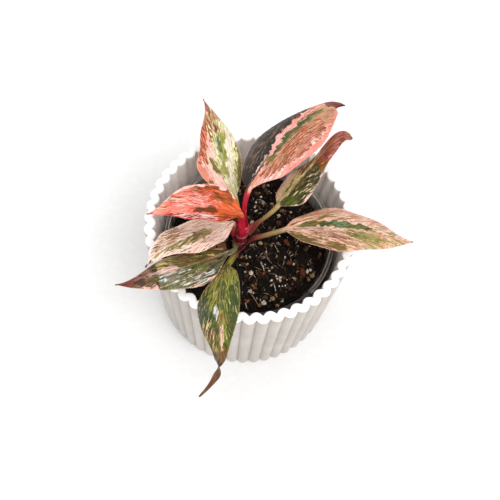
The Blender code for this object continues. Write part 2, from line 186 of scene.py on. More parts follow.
# Stage
FLOOR_HALF_SIZE = 3.0
WORLD_STRENGTH = 0.95
LIGHT_AIM = (0, 0, 0.05)
LIGHT_SIZE = 0.40
LIGHTS = (
    ("softbox", (0.30, -0.26, 0.72), 3.0),
    ("back_light", (-0.25, 0.45, 0.60), 0.8),
)


@dataclasses.dataclass
class Leaf:
    """One leaf. Angles are in degrees: heading is from +X towards +Y, pitch is up from level,
    and roll lifts the left margin. Each has the change over the blade's length beside it. A
    lobe widens one margin near the base: the left one if it is above 0, or the right one. The
    stalk width is a share of the usual one."""

    name: str
    foot_height: float
    foot_side: float
    base: tuple
    length: float
    width: float
    heading: float
    turn: float
    pitch: float
    droop: float
    roll: float = 0
    fold: float = 10
    arch: float = 0.1
    skew: float = 0
    blunt: float = 0.70
    taper: float = 1.15
    drip_tip: float = 0
    lobe: float = 0
    hook: float = 0
    nod: float = 0
    hook_from: float = 0.78
    twist: float = 0
    twist_from: float = 0.60
    twist_to: float = 0.80
    waves: float = 2.5
    stalk_rise: float = 0.6
    stalk_lift: float = 1.0
    stalk_width: float = 1.0


LEAVES = (
    Leaf("leaf_back_left", 0.0600, 105, (-0.0073, 0.0074, 0.0713), 0.0433, 0.0170,
         heading=120, turn=-15, pitch=16, droop=-20, roll=-16, fold=26, arch=0.02, skew=0.04,
         blunt=0.82, taper=1.43, drip_tip=-0.05, lobe=0.15, hook=20, nod=21, waves=3.0),
    Leaf("leaf_back_right", 0.0670, 70, (-0.0021, 0.0032, 0.0853), 0.0586, 0.0266,
         heading=73, turn=-34, pitch=12, droop=-32, roll=-27, fold=15, arch=0.44, skew=-0.08,
         blunt=0.72, taper=1.02, drip_tip=0.05, lobe=0.09, hook=-68, nod=34, hook_from=0.86,
         waves=2.0),
    Leaf("leaf_right_twisted", 0.0575, 45, (0.0096, 0.0080, 0.0665), 0.0462, 0.0177,
         heading=55, turn=-2, pitch=18, droop=-4, roll=-26, fold=2, arch=0.31, skew=-0.09,
         blunt=0.94, taper=4.40, drip_tip=0.30, lobe=0.25, hook=-40, nod=-74, hook_from=0.72,
         twist=41, twist_from=0.50, twist_to=0.80, stalk_rise=0.0, stalk_lift=0.35,
         stalk_width=0.75),
    Leaf("leaf_right", 0.0545, -18, (0.0133, -0.0019, 0.0665), 0.0491, 0.0193,
         heading=6, turn=-15, pitch=20, droop=-37, roll=-10, fold=14, arch=0.23, skew=-0.02,
         blunt=0.79, taper=1.13, drip_tip=-0.04, hook=7, nod=24, stalk_width=0.75),
    Leaf("leaf_left_red", 0.0640, 262, (-0.0039, -0.0036, 0.0777), 0.0348, 0.0172,
         heading=172, turn=36, pitch=16, droop=-29, roll=10, fold=22, arch=-0.05,
         blunt=0.83, taper=1.29, drip_tip=-0.10, lobe=0.06, hook=-18, stalk_rise=3.0),
    Leaf("leaf_left_peach", 0.0575, 177, (-0.0067, -0.0029, 0.0688), 0.0417, 0.0195,
         heading=212, turn=26, pitch=20, droop=9, roll=26, fold=-1, arch=0.04, skew=-0.03,
         blunt=0.97, taper=1.24, drip_tip=-0.11, hook=3, nod=-52, stalk_rise=3.0, stalk_lift=0.85),
    Leaf("leaf_front_left", 0.0553, 238, (-0.0070, -0.0162, 0.0711), 0.0422, 0.0152,
         heading=212, turn=-10, pitch=10, droop=-17, roll=10, fold=-2, arch=0.22, skew=0.04,
         blunt=0.98, taper=1.37, drip_tip=-0.06, lobe=0.13, hook=-15, nod=-1, stalk_rise=1.0),
    Leaf("leaf_front_hanging", 0.0515, 282, (-0.0072, -0.0171, 0.0613), 0.0618, 0.0208,
         heading=264, turn=24, pitch=67, droop=-115, roll=44, fold=1, arch=0.17, skew=-0.26,
         blunt=2.38, taper=3.12, drip_tip=0.06, lobe=-0.09, hook=-56, nod=42, hook_from=0.68,
         twist=132, twist_from=0.77, twist_to=0.90, stalk_rise=0.0),
)


@dataclasses.dataclass
class Patch:
    """A patch of colour over a span of the blade's length, 0 at its base and 1 at its tip, and
    a span across it, -1 at the right margin and 1 at the left one. A cover of 1 or more fills
    it, and less leaves it in streaks or flecks along the side veins. The lower crisp is, the
    sharper are its edges. Lean moves it to the left on its way to the tip."""

    colour: str
    along: tuple
    across: tuple
    cover: float
    grain: str = "streak"
    crisp: float = 0.12
    lean: float = 0.0


@dataclasses.dataclass
class Look:
    """The colours of one leaf. The ground is blotched with the second colour. Side veins run
    forward by the vein lean for each millimetre that they run out from the midrib."""

    ground: str
    second: str
    midrib: str
    margin: str
    tip: str
    stalk_foot: str
    stalk_top: str
    under: str
    tip_from: float
    midrib_strength: float
    vein_lean: float


# Red, green and blue as they show on a screen, from 0 to 255
PALETTE = {
    "cream": (238, 224, 186),
    "ivory": (240, 228, 208),
    "pale_green": (204, 206, 152),
    "pink_white": (244, 206, 196),
    "pale_pink": (242, 180, 168),
    "coral_pink": (236, 144, 130),
    "salmon": (224, 138, 116),
    "coral": (214, 88, 70),
    "bright_coral": (236, 100, 80),
    "peach": (226, 164, 134),
    "pale_peach": (232, 192, 166),
    "blush": (250, 214, 196),
    "straw": (222, 196, 138),
    "orange": (216, 92, 38),
    "rust": (148, 78, 42),
    "umber": (140, 72, 20),
    "dark_umber": (108, 50, 12),
    "brown": (112, 68, 40),
    "dark_brown": (66, 40, 26),
    "olive": (116, 106, 46),
    "khaki": (166, 148, 92),
    "tan": (180, 138, 100),
    "leaf_green": (96, 112, 30),
    "yellow_green": (156, 154, 66),
    "dark_green": (58, 72, 30),
    "grey_green": (104, 120, 84),
    "black_green": (36, 30, 20),
    # Silver is a painted sheen on leaf_front_left and a pale patch on leaf_front_hanging
    "silver": (216, 218, 216),
    "taupe": (138, 106, 88),
    "mauve": (166, 100, 90),
    "wine": (122, 56, 46),
    "maroon": (78, 20, 26),
    "crimson": (178, 24, 48),
    "deep_red": (150, 24, 32),
    "rose": (214, 86, 108),
    "glaze": (248, 242, 236),
    "cloudy_glaze": (242, 235, 228),
    # Painted shade: the outer wall's glaze is darker than the inner one
    "painted_shade_outer_glaze": (194, 186, 178),
    "cloudy_painted_shade_outer_glaze": (185, 177, 169),
    "glaze_speck": (190, 180, 168),
    # Painted light: the rim's top, lighter than the outer wall below it
    "painted_light_glaze_rim": (250, 248, 246),
    "clear": (150, 146, 142),
    "scuffed_clear": (184, 180, 175),
    "painted_highlight_clear_rim": (214, 208, 200),
    "clinging_mix": (30, 22, 17),
    "mix": (24, 17, 12),
    "mix_shadow": (12, 8, 6),
    "dry_fibre": (86, 52, 34),
    "paper": (234, 234, 234),
    "paper_grain": (231, 231, 231),
}

LOOKS = {
    "leaf_back_left": Look(
        "cream", "pale_green", "pale_green", "pink_white", "wine", "crimson", "yellow_green",
        "pale_peach",
        tip_from=0.95, midrib_strength=0.2, vein_lean=3.0,
    ),
    "leaf_back_right": Look(
        "salmon", "peach", "pink_white", "coral_pink", "maroon", "crimson", "crimson", "salmon",
        tip_from=0.93, midrib_strength=0.15, vein_lean=4.5,
    ),
    "leaf_right_twisted": Look(
        "khaki", "straw", "cream", "pale_peach", "maroon", "wine", "khaki", "tan",
        tip_from=0.97, midrib_strength=0.3, vein_lean=3.0,
    ),
    "leaf_right": Look(
        "pale_peach", "peach", "ivory", "pale_pink", "deep_red", "wine", "khaki", "peach",
        tip_from=0.96, midrib_strength=0.6, vein_lean=2.2,
    ),
    "leaf_left_red": Look(
        "bright_coral", "coral_pink", "pink_white", "coral", "mauve", "crimson", "crimson",
        "coral",
        tip_from=0.93, midrib_strength=0.15, vein_lean=2.6,
    ),
    "leaf_left_peach": Look(
        "blush", "ivory", "tan", "blush", "dark_brown", "crimson", "salmon",
        "pale_peach",
        tip_from=0.93, midrib_strength=0.15, vein_lean=3.0,
    ),
    "leaf_front_left": Look(
        "dark_green", "olive", "pale_pink", "pale_peach", "wine", "olive", "grey_green",
        "taupe",
        tip_from=0.95, midrib_strength=0.4, vein_lean=3.4,
    ),
    "leaf_front_hanging": Look(
        "leaf_green", "dark_green", "straw", "khaki", "dark_brown", "wine", "yellow_green",
        "brown",
        tip_from=0.97, midrib_strength=0.3, vein_lean=2.2,
    ),
}

# The patches of each leaf, a later one over an earlier one
PATCHES = {
    "leaf_back_left": (
        Patch("pale_green", (-0.2, 0.12), (-1.1, 0.3), 0.8, crisp=0.14),
        Patch("salmon", (0.06, 0.9), (0.52, 1.3), 1.0, crisp=0.14),
        Patch("pale_pink", (0.06, 0.62), (0.22, 0.64), 0.8, crisp=0.14),
        Patch("pink_white", (0.05, 0.5), (0.28, 0.8), 0.52, crisp=0.14),
        Patch("coral", (0.6, 0.8), (0.62, 0.95), 0.56, crisp=0.14),
        Patch("rust", (0.34, 0.9), (0.5, 1.2), 0.5, "fleck", 0.1),
        Patch("umber", (0.42, 0.62), (0.78, 1.3), 0.66, "fleck", 0.1),
        Patch("olive", (0.13, 0.2), (0.72, 1.3), 0.7, "fleck", 0.1),
        Patch("olive", (0.22, 0.39), (0.24, 0.44), 1.0, lean=0.8),
        Patch("leaf_green", (0.16, 0.6), (-0.3, 0.06), 0.66, lean=-1.3),
        Patch("yellow_green", (0.16, 0.62), (-0.5, 0.06), 0.54, lean=-1.3),
        Patch("grey_green", (0.42, 0.58), (-0.22, 0.02), 0.85, crisp=0.14, lean=-0.8),
        Patch("olive", (0.04, 0.46), (-1.3, -0.74), 0.76, lean=-0.8),
        Patch("olive", (0.08, 0.3), (-1.2, -0.45), 0.52, "fleck", 0.1, lean=-0.8),
        Patch("ivory", (0.08, 0.62), (-0.62, -0.3), 0.95, crisp=0.14, lean=-1.6),
        Patch("umber", (0.52, 0.76), (-0.02, 0.46), 0.6, "fleck", 0.1),
        Patch("brown", (0.56, 0.74), (-0.34, -0.08), 0.44, crisp=0.1),
        Patch("tan", (0.72, 0.98), (-1.1, 1.1), 0.72, crisp=0.14),
        Patch("rust", (0.6, 0.97), (-0.6, 0.9), 0.48, "fleck", 0.1),
        Patch("mauve", (0.84, 1.1), (-1.1, 1.1), 0.72, crisp=0.14),
    ),
    "leaf_back_right": (
        Patch("coral_pink", (-0.1, 0.94), (-1.3, -0.72), 1.0, crisp=0.14),
        Patch("pale_pink", (-0.1, 0.18), (-1.3, -0.4), 0.74, crisp=0.14),
        Patch("pink_white", (0.05, 0.94), (-0.95, -0.1), 0.44, crisp=0.1),
        Patch("umber", (0.07, 0.46), (-0.82, -0.2), 0.52),
        Patch("rust", (0.16, 0.92), (-0.88, -0.14), 0.5, crisp=0.1),
        Patch("orange", (0.1, 0.6), (-0.8, -0.16), 0.26, crisp=0.2),
        Patch("peach", (0.16, 0.92), (-0.88, -0.14), 0.36, "fleck", 0.1),
        Patch("brown", (0.12, 0.86), (-0.88, -0.12), 0.36, "fine", 0.08),
        Patch("khaki", (0.56, 0.92), (-0.46, 0.02), 0.62),
        Patch("tan", (0.66, 0.94), (-1.2, -0.1), 0.56, crisp=0.14),
        Patch("olive", (0.2, 0.8), (-0.3, -0.01), 0.95, lean=0.1),
        Patch("dark_green", (0.26, 0.74), (-0.24, -0.02), 0.85, lean=0.1),
        Patch("black_green", (-0.1, 0.74), (0.06, 2.0), 1.6, crisp=0.14, lean=0.62),
        # Painted sheen: fine greyish glints on the dark left half
        Patch("taupe", (0.1, 0.66), (0.16, 1.2), 0.22, "fine", 0.1, lean=0.62),
        Patch("pink_white", (0.03, 0.32), (0.0, 0.07), 0.9, crisp=0.16),
        Patch("pale_pink", (0.26, 0.96), (0.05, 0.18), 1.5, crisp=0.2, lean=0.42),
        Patch("coral_pink", (0.4, 0.96), (0.06, 0.3), 0.56, lean=0.42),
        Patch("rust", (0.62, 0.92), (-0.1, 0.5), 0.36, crisp=0.1),
        Patch("wine", (0.86, 1.1), (-1.1, 1.1), 1.0, crisp=0.14),
    ),
    "leaf_right_twisted": (
        Patch("straw", (-0.05, 0.5), (0.06, 0.9), 0.54),
        Patch("brown", (0.06, 0.52), (0.2, 1.0), 0.26, crisp=0.1),
        # Painted light: paler than the leaf's own colour, to offset the shade on this part of the
        # left half
        Patch("pale_peach", (0.05, 0.32), (0.46, 1.1), 0.86, crisp=0.22),
        Patch("brown", (0.34, 0.6), (0.1, 1.2), 0.66, crisp=0.14),
        Patch("dark_green", (0.1, 0.27), (0.12, 0.32), 0.66, lean=0.8),
        Patch("olive", (0.01, 0.6), (-1.3, -0.04), 1.3, crisp=0.14),
        Patch("dark_green", (0.01, 0.5), (-1.2, -0.08), 0.86),
        Patch("leaf_green", (0.02, 0.34), (-1.0, -0.1), 0.52),
        Patch("straw", (0.14, 0.56), (-1.0, -0.16), 0.24, "fleck", 0.1, lean=-0.6),
        Patch("cream", (0.12, 0.5), (-1.0, -0.2), 0.18, "fleck", 0.09),
        Patch("dark_brown", (0.1, 0.56), (-1.0, -0.16), 0.36),
        Patch("pink_white", (0.0, 0.5), (-1.2, -0.94), 0.8, crisp=0.14),
        Patch("cream", (0.08, 0.5), (-0.08, 0.0), 0.7, crisp=0.14),
        Patch("dark_brown", (0.16, 0.6), (-0.22, -0.07), 0.85),
        Patch("umber", (0.46, 0.6), (-1.0, 0.6), 0.66, crisp=0.14),
        Patch("mauve", (0.56, 1.1), (-1.2, 1.2), 1.1, crisp=0.14),
        Patch("wine", (0.55, 0.88), (-1.2, 0.6), 0.6),
        Patch("umber", (0.62, 1.0), (-0.8, 0.9), 0.48),
        Patch("coral_pink", (0.57, 0.76), (-1.2, -0.7), 0.52, crisp=0.14),
    ),
    "leaf_right": (
        Patch("pink_white", (0.3, 1.1), (0.1, 1.2), 0.66, crisp=0.14),
        Patch("rust", (0.02, 0.28), (0.3, 1.0), 0.46, crisp=0.1),
        Patch("tan", (0.1, 0.98), (0.26, 1.1), 0.4),
        Patch("rust", (0.16, 0.96), (0.36, 1.1), 0.28, "fine", 0.09),
        Patch("olive", (0.12, 0.5), (0.34, 0.62), 0.42, crisp=0.1, lean=0.4),
        Patch("pink_white", (0.1, 0.58), (-0.7, 0.02), 0.7, crisp=0.14),
        Patch("coral_pink", (0.12, 0.56), (-0.7, -0.05), 0.42),
        Patch("wine", (0.2, 0.29), (-0.48, -0.28), 0.5, "fleck", 0.1),
        Patch("tan", (0.04, 0.6), (-0.8, 0.0), 0.5, crisp=0.14, lean=-0.8),
        Patch("brown", (0.2, 0.64), (-0.7, -0.06), 0.36, "fine", lean=-0.8),
        Patch("olive", (0.0, 0.5), (-1.3, -0.6), 0.7, lean=-0.5),
        Patch("dark_green", (0.04, 0.44), (-1.2, -0.66), 0.46, "fine", lean=-0.5),
        Patch("brown", (0.08, 0.5), (-1.2, -0.62), 0.36, "fine", lean=-0.5),
        Patch("dark_green", (0.12, 0.66), (0.05, 0.3), 1.25, crisp=0.14),
        Patch("olive", (0.08, 0.66), (0.02, 0.34), 0.5),
        Patch("grey_green", (0.35, 0.48), (0.08, 0.32), 0.8, crisp=0.2),
        Patch("leaf_green", (0.44, 0.8), (-0.52, -0.06), 0.74, lean=-1.3),
        Patch("olive", (0.48, 0.7), (-0.4, -0.04), 0.6, crisp=0.1, lean=-1.3),
        Patch("yellow_green", (0.6, 0.86), (-0.74, -0.2), 0.5, lean=-1.3),
        Patch("khaki", (0.55, 0.98), (-1.1, 0.0), 0.44),
        Patch("khaki", (0.55, 0.98), (0.0, 0.7), 0.24),
        Patch("olive", (0.55, 0.98), (-1.1, 0.8), 0.24, "fine", 0.09),
    ),
    "leaf_left_red": (
        Patch("orange", (-0.1, 0.28), (-1.2, 1.2), 0.95, crisp=0.14),
        Patch("orange", (0.18, 0.5), (-0.95, 0.62), 0.72, crisp=0.14),
        Patch("umber", (-0.1, 0.26), (0.4, 1.2), 0.58),
        Patch("umber", (0.1, 0.44), (-0.95, -0.24), 0.74, crisp=0.18, lean=-0.3),
        Patch("dark_umber", (0.24, 0.52), (-1.0, -0.48), 0.66, crisp=0.18, lean=-0.3),
        Patch("orange", (0.08, 0.44), (-0.9, -0.2), 0.3, "fine", 0.1, lean=-0.3),
        Patch("tan", (0.44, 0.6), (-0.95, -0.55), 0.42, "fleck", 0.14),
        Patch("pink_white", (0.24, 0.74), (0.54, 0.95), 0.74, crisp=0.14),
        Patch("pale_pink", (0.18, 0.44), (-0.34, 0.0), 0.42, crisp=0.1, lean=-0.5),
        Patch("pale_pink", (0.34, 0.76), (-0.52, 0.08), 0.66, lean=-0.3),
        Patch("deep_red", (0.1, 0.8), (0.55, 1.2), 0.5, "fleck", 0.09),
        Patch("coral", (0.3, 0.84), (-0.7, 0.5), 0.4),
        Patch("pale_peach", (0.56, 0.96), (-0.8, 0.4), 0.34, crisp=0.26),
        Patch("rust", (0.44, 0.9), (-1.0, -0.2), 0.24, "fleck", 0.09),
        Patch("dark_umber", (0.27, 0.48), (0.04, 0.44), 1.3, "fleck", 0.16, lean=0.2),
        Patch("pink_white", (0.06, 0.9), (-1.2, -0.9), 0.8, crisp=0.14),
    ),
    "leaf_left_peach": (
        Patch("pale_pink", (0.0, 0.98), (0.2, 1.2), 0.26, crisp=0.2),
        Patch("khaki", (0.26, 0.94), (-0.04, 0.44), 0.82, lean=0.4),
        Patch("olive", (0.34, 0.8), (-0.06, 0.32), 0.62, lean=0.3),
        Patch("pale_peach", (0.08, 0.66), (-1.1, 0.0), 0.36, crisp=0.2),
        Patch("tan", (0.42, 0.92), (-0.9, -0.05), 0.48, crisp=0.14),
        Patch("umber", (0.44, 0.9), (-1.0, -0.2), 0.34, "fleck"),
        Patch("dark_brown", (0.2, 0.86), (-0.9, 1.1), 0.18, "fleck", 0.07),
        Patch("rust", (0.0, 0.14), (-0.4, 0.5), 0.34),
        Patch("wine", (0.94, 1.1), (-1.1, 1.1), 0.8, crisp=0.14),
    ),
    "leaf_front_left": (
        Patch("grey_green", (0.0, 0.62), (-0.05, 1.1), 0.56, crisp=0.22),
        Patch("brown", (-0.1, 0.3), (-1.1, 1.1), 0.36, "fleck", 0.1),
        Patch("black_green", (0.0, 0.36), (0.1, 1.1), 0.5),
        Patch("leaf_green", (0.18, 0.5), (0.06, 0.56), 0.6),
        Patch("black_green", (0.06, 0.6), (0.2, 1.0), 0.34, "fleck", 0.1),
        Patch("taupe", (0.1, 0.7), (0.1, 1.0), 0.34),
        # Painted sheen: pale grey streaks where the blade reflects the light
        Patch("silver", (0.17, 0.38), (0.6, 1.05), 0.5, crisp=0.2),
        Patch("ivory", (0.24, 0.66), (0.05, 0.95), 0.2, "fleck", 0.14),
        # Painted sheen: pale grey flecks
        Patch("silver", (0.42, 0.66), (0.04, 0.52), 0.38, "fleck", 0.26),
        Patch("rust", (0.12, 0.3), (-0.04, 0.18), 0.42, "fleck"),
        Patch("khaki", (0.24, 0.66), (-1.1, -0.12), 0.62, crisp=0.22),
        Patch("straw", (0.44, 0.64), (-1.1, -0.3), 0.3, crisp=0.14),
        Patch("straw", (0.1, 0.4), (-0.62, -0.36), 0.56, lean=-1.8),
        Patch("brown", (0.26, 0.5), (-1.0, -0.04), 0.4),
        Patch("pink_white", (0.46, 0.8), (-0.38, 0.06), 0.78, crisp=0.3, lean=-0.2),
        Patch("dark_brown", (0.62, 0.98), (-1.2, 0.9), 0.64),
        Patch("mauve", (0.68, 1.0), (-1.2, 1.2), 0.42, crisp=0.14),
        Patch("dark_brown", (0.72, 0.9), (-0.1, 0.6), 0.6, crisp=0.14),
        Patch("pale_pink", (0.64, 0.8), (0.7, 1.2), 0.7, crisp=0.14),
        Patch("coral_pink", (0.76, 0.9), (-1.2, -0.6), 0.34, crisp=0.14),
        Patch("pale_pink", (0.08, 0.46), (0.94, 1.2), 0.7, crisp=0.14),
        Patch("wine", (0.84, 1.1), (-1.1, 1.1), 0.8, crisp=0.14),
    ),
    "leaf_front_hanging": (
        Patch("yellow_green", (-0.15, 0.34), (-1.1, 1.1), 0.58, crisp=0.14),
        Patch("khaki", (-0.05, 0.3), (-1.1, 1.1), 0.46, "fleck"),
        Patch("dark_green", (0.1, 0.5), (-0.6, 1.1), 0.38),
        # Painted light: paler than the leaf's own colour, to offset the shade on the right half
        # near the base
        Patch("straw", (-0.1, 0.28), (-1.2, -0.15), 0.92, crisp=0.18),
        # Painted highlight: grey-green streaks on the left half
        Patch("grey_green", (0.28, 0.5), (0.3, 0.95), 0.42, crisp=0.14),
        Patch("yellow_green", (0.14, 0.6), (0.1, 1.0), 0.4),
        Patch("leaf_green", (0.4, 0.66), (0.36, 1.2), 0.62),
        Patch("dark_green", (0.38, 0.68), (0.5, 1.2), 0.62),
        Patch("dark_green", (0.34, 0.66), (-1.1, -0.26), 0.86, crisp=0.14),
        Patch("grey_green", (0.44, 0.62), (-0.62, -0.25), 0.42),
        Patch("yellow_green", (0.14, 0.5), (-0.5, -0.04), 0.66),
        Patch("yellow_green", (0.5, 0.76), (-0.1, 0.5), 0.62),
        Patch("umber", (0.5, 0.7), (-0.2, 0.8), 0.24, crisp=0.1),
        Patch("straw", (0.12, 0.7), (-1.1, 1.1), 0.12, "fleck", 0.08),
        Patch("pale_peach", (0.6, 0.74), (0.02, 0.36), 0.92, crisp=0.2),
        Patch("silver", (0.47, 0.57), (-0.22, -0.07), 0.8, crisp=0.16),
        Patch("tan", (0.6, 0.8), (-1.1, -0.16), 0.5),
        Patch("straw", (0.52, 0.76), (-1.0, -0.3), 0.4, crisp=0.1),
        Patch("brown", (0.58, 0.82), (-1.1, 0.0), 0.38, "fleck", 0.1),
        Patch("umber", (0.71, 0.8), (-1.2, 1.2), 0.5, crisp=0.14),
        Patch("taupe", (0.76, 1.1), (-1.1, 1.1), 1.1, crisp=0.14),
        Patch("mauve", (0.78, 1.02), (-1.1, 1.1), 0.34, crisp=0.14),
        Patch("dark_brown", (0.76, 1.02), (-1.1, 1.1), 0.8, crisp=0.2),
    ),
}


# Shaders


def screen(red, green, blue):
    """A colour as it shows on a screen, from 0 to 255, as the linear one that shaders use."""
    shown = Color((red / 255, green / 255, blue / 255))
    return (*shown.from_srgb_to_scene_linear(), 1.0)


def named(colour):
    return screen(*PALETTE[colour])


class Shader:
    """A material's node tree with short ways to add to it. A value that isn't a socket is set
    on the socket that it goes to."""

    def __init__(self, name, specular=0.5):
        self.material = bpy.data.materials.new(name)
        self.material.use_nodes = True
        self.tree = self.material.node_tree
        self.surface = self.tree.nodes["Principled BSDF"]
        self.set("Specular IOR Level", specular)

    def node(self, kind, inputs, **settings):
        made = self.tree.nodes.new("ShaderNode" + kind)
        for name, value in settings.items():
            setattr(made, name, value)
        for name, value in inputs.items():
            self.join(value, made.inputs[name])
        return made

    def join(self, value, socket):
        if isinstance(value, bpy.types.NodeSocket):
            self.tree.links.new(value, socket)
        else:
            socket.default_value = value

    def set(self, name, value):
        self.join(value, self.surface.inputs[name])

    def place(self):
        return self.node("TexCoord", {}).outputs["Object"]

    def attribute(self, name, output="Vector"):
        return self.node("Attribute", {}, attribute_name=name).outputs[output]

    def split(self, vector):
        return self.node("SeparateXYZ", {0: vector}).outputs

    def vector(self, x, y, z):
        return self.node("CombineXYZ", {0: x, 1: y, 2: z}).outputs[0]

    def maths(self, operation, *values):
        return self.node("Math", dict(enumerate(values)), operation=operation).outputs[0]

    def times(self, first, second):
        return self.maths("MULTIPLY", first, second)

    def stretch(self, vector, x, y, z):
        return self.node("VectorMath", {0: vector, 1: (x, y, z)}, operation="MULTIPLY").outputs[0]

    def noise(self, vector, scale, detail=3.0, roughness=0.55):
        inputs = {"Vector": vector, "Scale": scale, "Detail": detail, "Roughness": roughness}
        return self.node("TexNoise", inputs).outputs["Fac"]

    def wander(self, vector, *recipe):
        """A noise around 0 instead of around a half."""
        return self.maths("SUBTRACT", self.noise(vector, *recipe), 0.5)

    def span(self, value, low, high, to_low=0.0, to_high=1.0):
        inputs = {0: value, 1: low, 2: high, 3: to_low, 4: to_high}
        return self.node("MapRange", inputs, interpolation_type="SMOOTHSTEP").outputs[0]

    def swing(self, grain, to_low=0.0, to_high=1.0):
        """A noise spread out from one value to another."""
        return self.span(grain, *NOISE_SPAN, to_low, to_high)

    def mix(self, share, first, second, blend="MIX"):
        inputs = {0: share, 6: first, 7: second}
        return self.node("Mix", inputs, data_type="RGBA", blend_type=blend).outputs[2]

    def finish(self, colour, roughness, relief, bump):
        self.set("Base Color", colour)
        self.set("Roughness", roughness)
        inputs = {"Height": relief, "Distance": bump[0], "Strength": bump[1]}
        self.set("Normal", self.node("Bump", inputs).outputs[0])
        return self.material


# Most of a noise lies in this span
NOISE_SPAN = (0.3, 0.7)
# Noises: their scale to the metre, then detail and roughness
GLAZE_CLOUDS = (60.0, 4.0)
GLAZE_SPECKS = (1400.0, 2.0)
GLAZE_DIMPLES = (420.0, 3.0)
SCUFFS = (900.0, 3.0)
SPILL_CRUMBS = (500.0, 5.0, 0.7)
MIX_MOTTLE = (1600.0, 4.0, 0.7)
STEM_STREAKS = (1500.0, 3.0)
PAPER_GRAIN = (300.0, 3.0)
# Noises on a leaf or a strip: the same, but with their scale to the millimetre
WAVER_NOISE = (0.28, 3.0)
BLOTCH_NOISE = (0.35, 4.0, 0.65)
WARP_NOISE = (0.38, 1.5, 0.5)
FIBRES = (1.0, 4.0, 0.65)
# What draws a noise out into streaks
SCUFF_STRETCH = (1.0, 1.0, 0.12)
STEM_STRETCH = (1.0, 1.0, 0.15)
FIBRE_STRETCH = (0.5, 5.0, 1.0)
# Roughness, from the smoothest places to the roughest
GLAZE_ROUGHNESS = (0.32, 0.44)
PLASTIC_ROUGHNESS = (0.16, 0.34)
MIX_ROUGHNESS = (0.70, 0.98)
STEM_ROUGHNESS = (0.28, 0.45)
FIBRE_ROUGHNESS = (0.60, 0.90)
LEAF_ROUGHNESS = (0.30, 0.46)
PAPER_ROUGHNESS = 0.9
MIX_SPECULAR = 0.2
LEAF_SPECULAR = 0.25
# Bumps: their height and strength
GLAZE_BUMP = (0.0001, 0.35)
PLASTIC_BUMP = (0.0001, 0.3)
MIX_BUMP = (0.0004, 0.8)
STEM_BUMP = (0.0001, 0.4)
FIBRE_BUMP = (0.0002, 0.8)
LEAF_BUMP = (0.00018, 0.6)
# Where something begins to show and where it shows most, then how much it shows at the two
GLAZE_SPECK_SPAN = (0.30, 0.18, 0.0, 0.5)
# Painted light on the rim's rounded top, which faces the light above
PAINTED_LIGHT_RIM_SPAN = (POT_HEIGHT - 2 * POT_ROUND, POT_HEIGHT - POT_ROUND / 2)
MIX_LIGHT_SPAN = (0.35, 0.60)
STEM_RED_SPAN = (0.056, 0.064)
STEM_STREAK_SPAN = (0.45, 0.75, 0.0, 0.5)
BLOTCH_SPAN = (0.40, 0.60)
DARK_SPAN = (0.48, 0.05, 0.0, 0.62)
LIGHT_SPAN = (0.62, 0.95, 0.0, 0.45)
# Millimetres from the midrib's middle
RIB_SPAN = (0.42, 0.14)
RIB_LENGTH_SPAN = (0.85, 0.45)
RIB_BLOTCH_SPAN = (0.0, 1.0, 0.45, 1.0)
MARGIN_SPAN = (0.955, 1.0, 0.0, 0.8)
MARGIN_STREAK_SPAN = (0.2, 0.8, 0.3, 1.0)
BLADE_SPAN = (-0.12, 0.03)
STALK_TOP_SPAN = (-0.75, -0.15)
STALK_STREAK_SPAN = (0.5, 1.0, 0.0, 0.4)
# The edges of the nursery pot's rim, from its middle, where a highlight is painted
RIM_EDGE_SPAN = (0.00036, 0.00056)
CLEAR_ALPHA = 0.16
RIM_ALPHA = 0.65
# Mix clings to the nursery pot's rim in front of this
SPILL_SPAN = (-0.019, -0.022)
SPILL_RAGGED = 0.012
# Grains to the millimetre, across and along the side veins, then detail and roughness
GRAINS = {
    "streak": (0.95, 0.15, 5.0, 0.66),
    "fleck": (1.10, 0.42, 4.0, 0.60),
    "fine": (2.20, 0.32, 3.0, 0.60),
}
GRAIN_SPAN = (0.31, 0.69)
PATCH_SOFT_ALONG = 0.05
PATCH_SOFT_ACROSS = 0.12
# How far noise shifts the edges of patches, along the leaf and across it
WARP = (0.16, 0.48)
# How far streaks waver, in millimetres
WAVER = 1.8
DARK_TINT = (0.34, 0.22, 0.14, 1.0)
LIGHT_TINT = (1.45, 1.45, 1.40, 1.0)
# How strongly a colour or a relief shows
UNDERSIDE_SHARE = 0.55
STREAK_SHARE = 0.6
MIX_SHADOW_SHARE = 0.75
FIBRE_SHARE = 0.7
SCAR_SHARE = 0.55
# Half width of the pale line at a scar
SCAR_LINE = 0.0002


def window(shader, value, span, soft):
    """1 inside the span and 0 outside it, softly."""
    start = shader.span(value, span[0] - soft, span[0] + soft)
    end = shader.span(value, span[1] - soft, span[1] + soft, 1.0, 0.0)
    return shader.times(start, end)


def patch_mask(shader, patch, t, v, grain):
    if patch.lean:
        shift = shader.maths("SUBTRACT", t, sum(patch.along) / 2)
        v = shader.maths("MULTIPLY_ADD", shift, -patch.lean, v)
    along = window(shader, t, patch.along, PATCH_SOFT_ALONG)
    across = window(shader, v, patch.across, PATCH_SOFT_ACROSS)
    level = shader.maths("ADD", grain, patch.cover - 0.5)
    level = shader.times(level, shader.times(along, across))
    return shader.span(level, 0.5 - patch.crisp, 0.5 + patch.crisp)


def leaf_grains(shader, flat):
    """Streaks and flecks that follow the side veins and waver a little."""
    waver = shader.times(shader.wander(flat, *WAVER_NOISE), WAVER)
    inputs = {0: shader.attribute("vein"), 1: shader.vector(waver, 0.0, 0.0)}
    vein = shader.node("VectorMath", inputs).outputs[0]
    grains = {}
    for layer, (name, (across, along, detail, roughness)) in enumerate(GRAINS.items()):
        place = shader.stretch(vein, across, along, layer + 1.0)
        grains[name] = shader.span(shader.noise(place, 1.0, detail, roughness), *GRAIN_SPAN)
    return grains


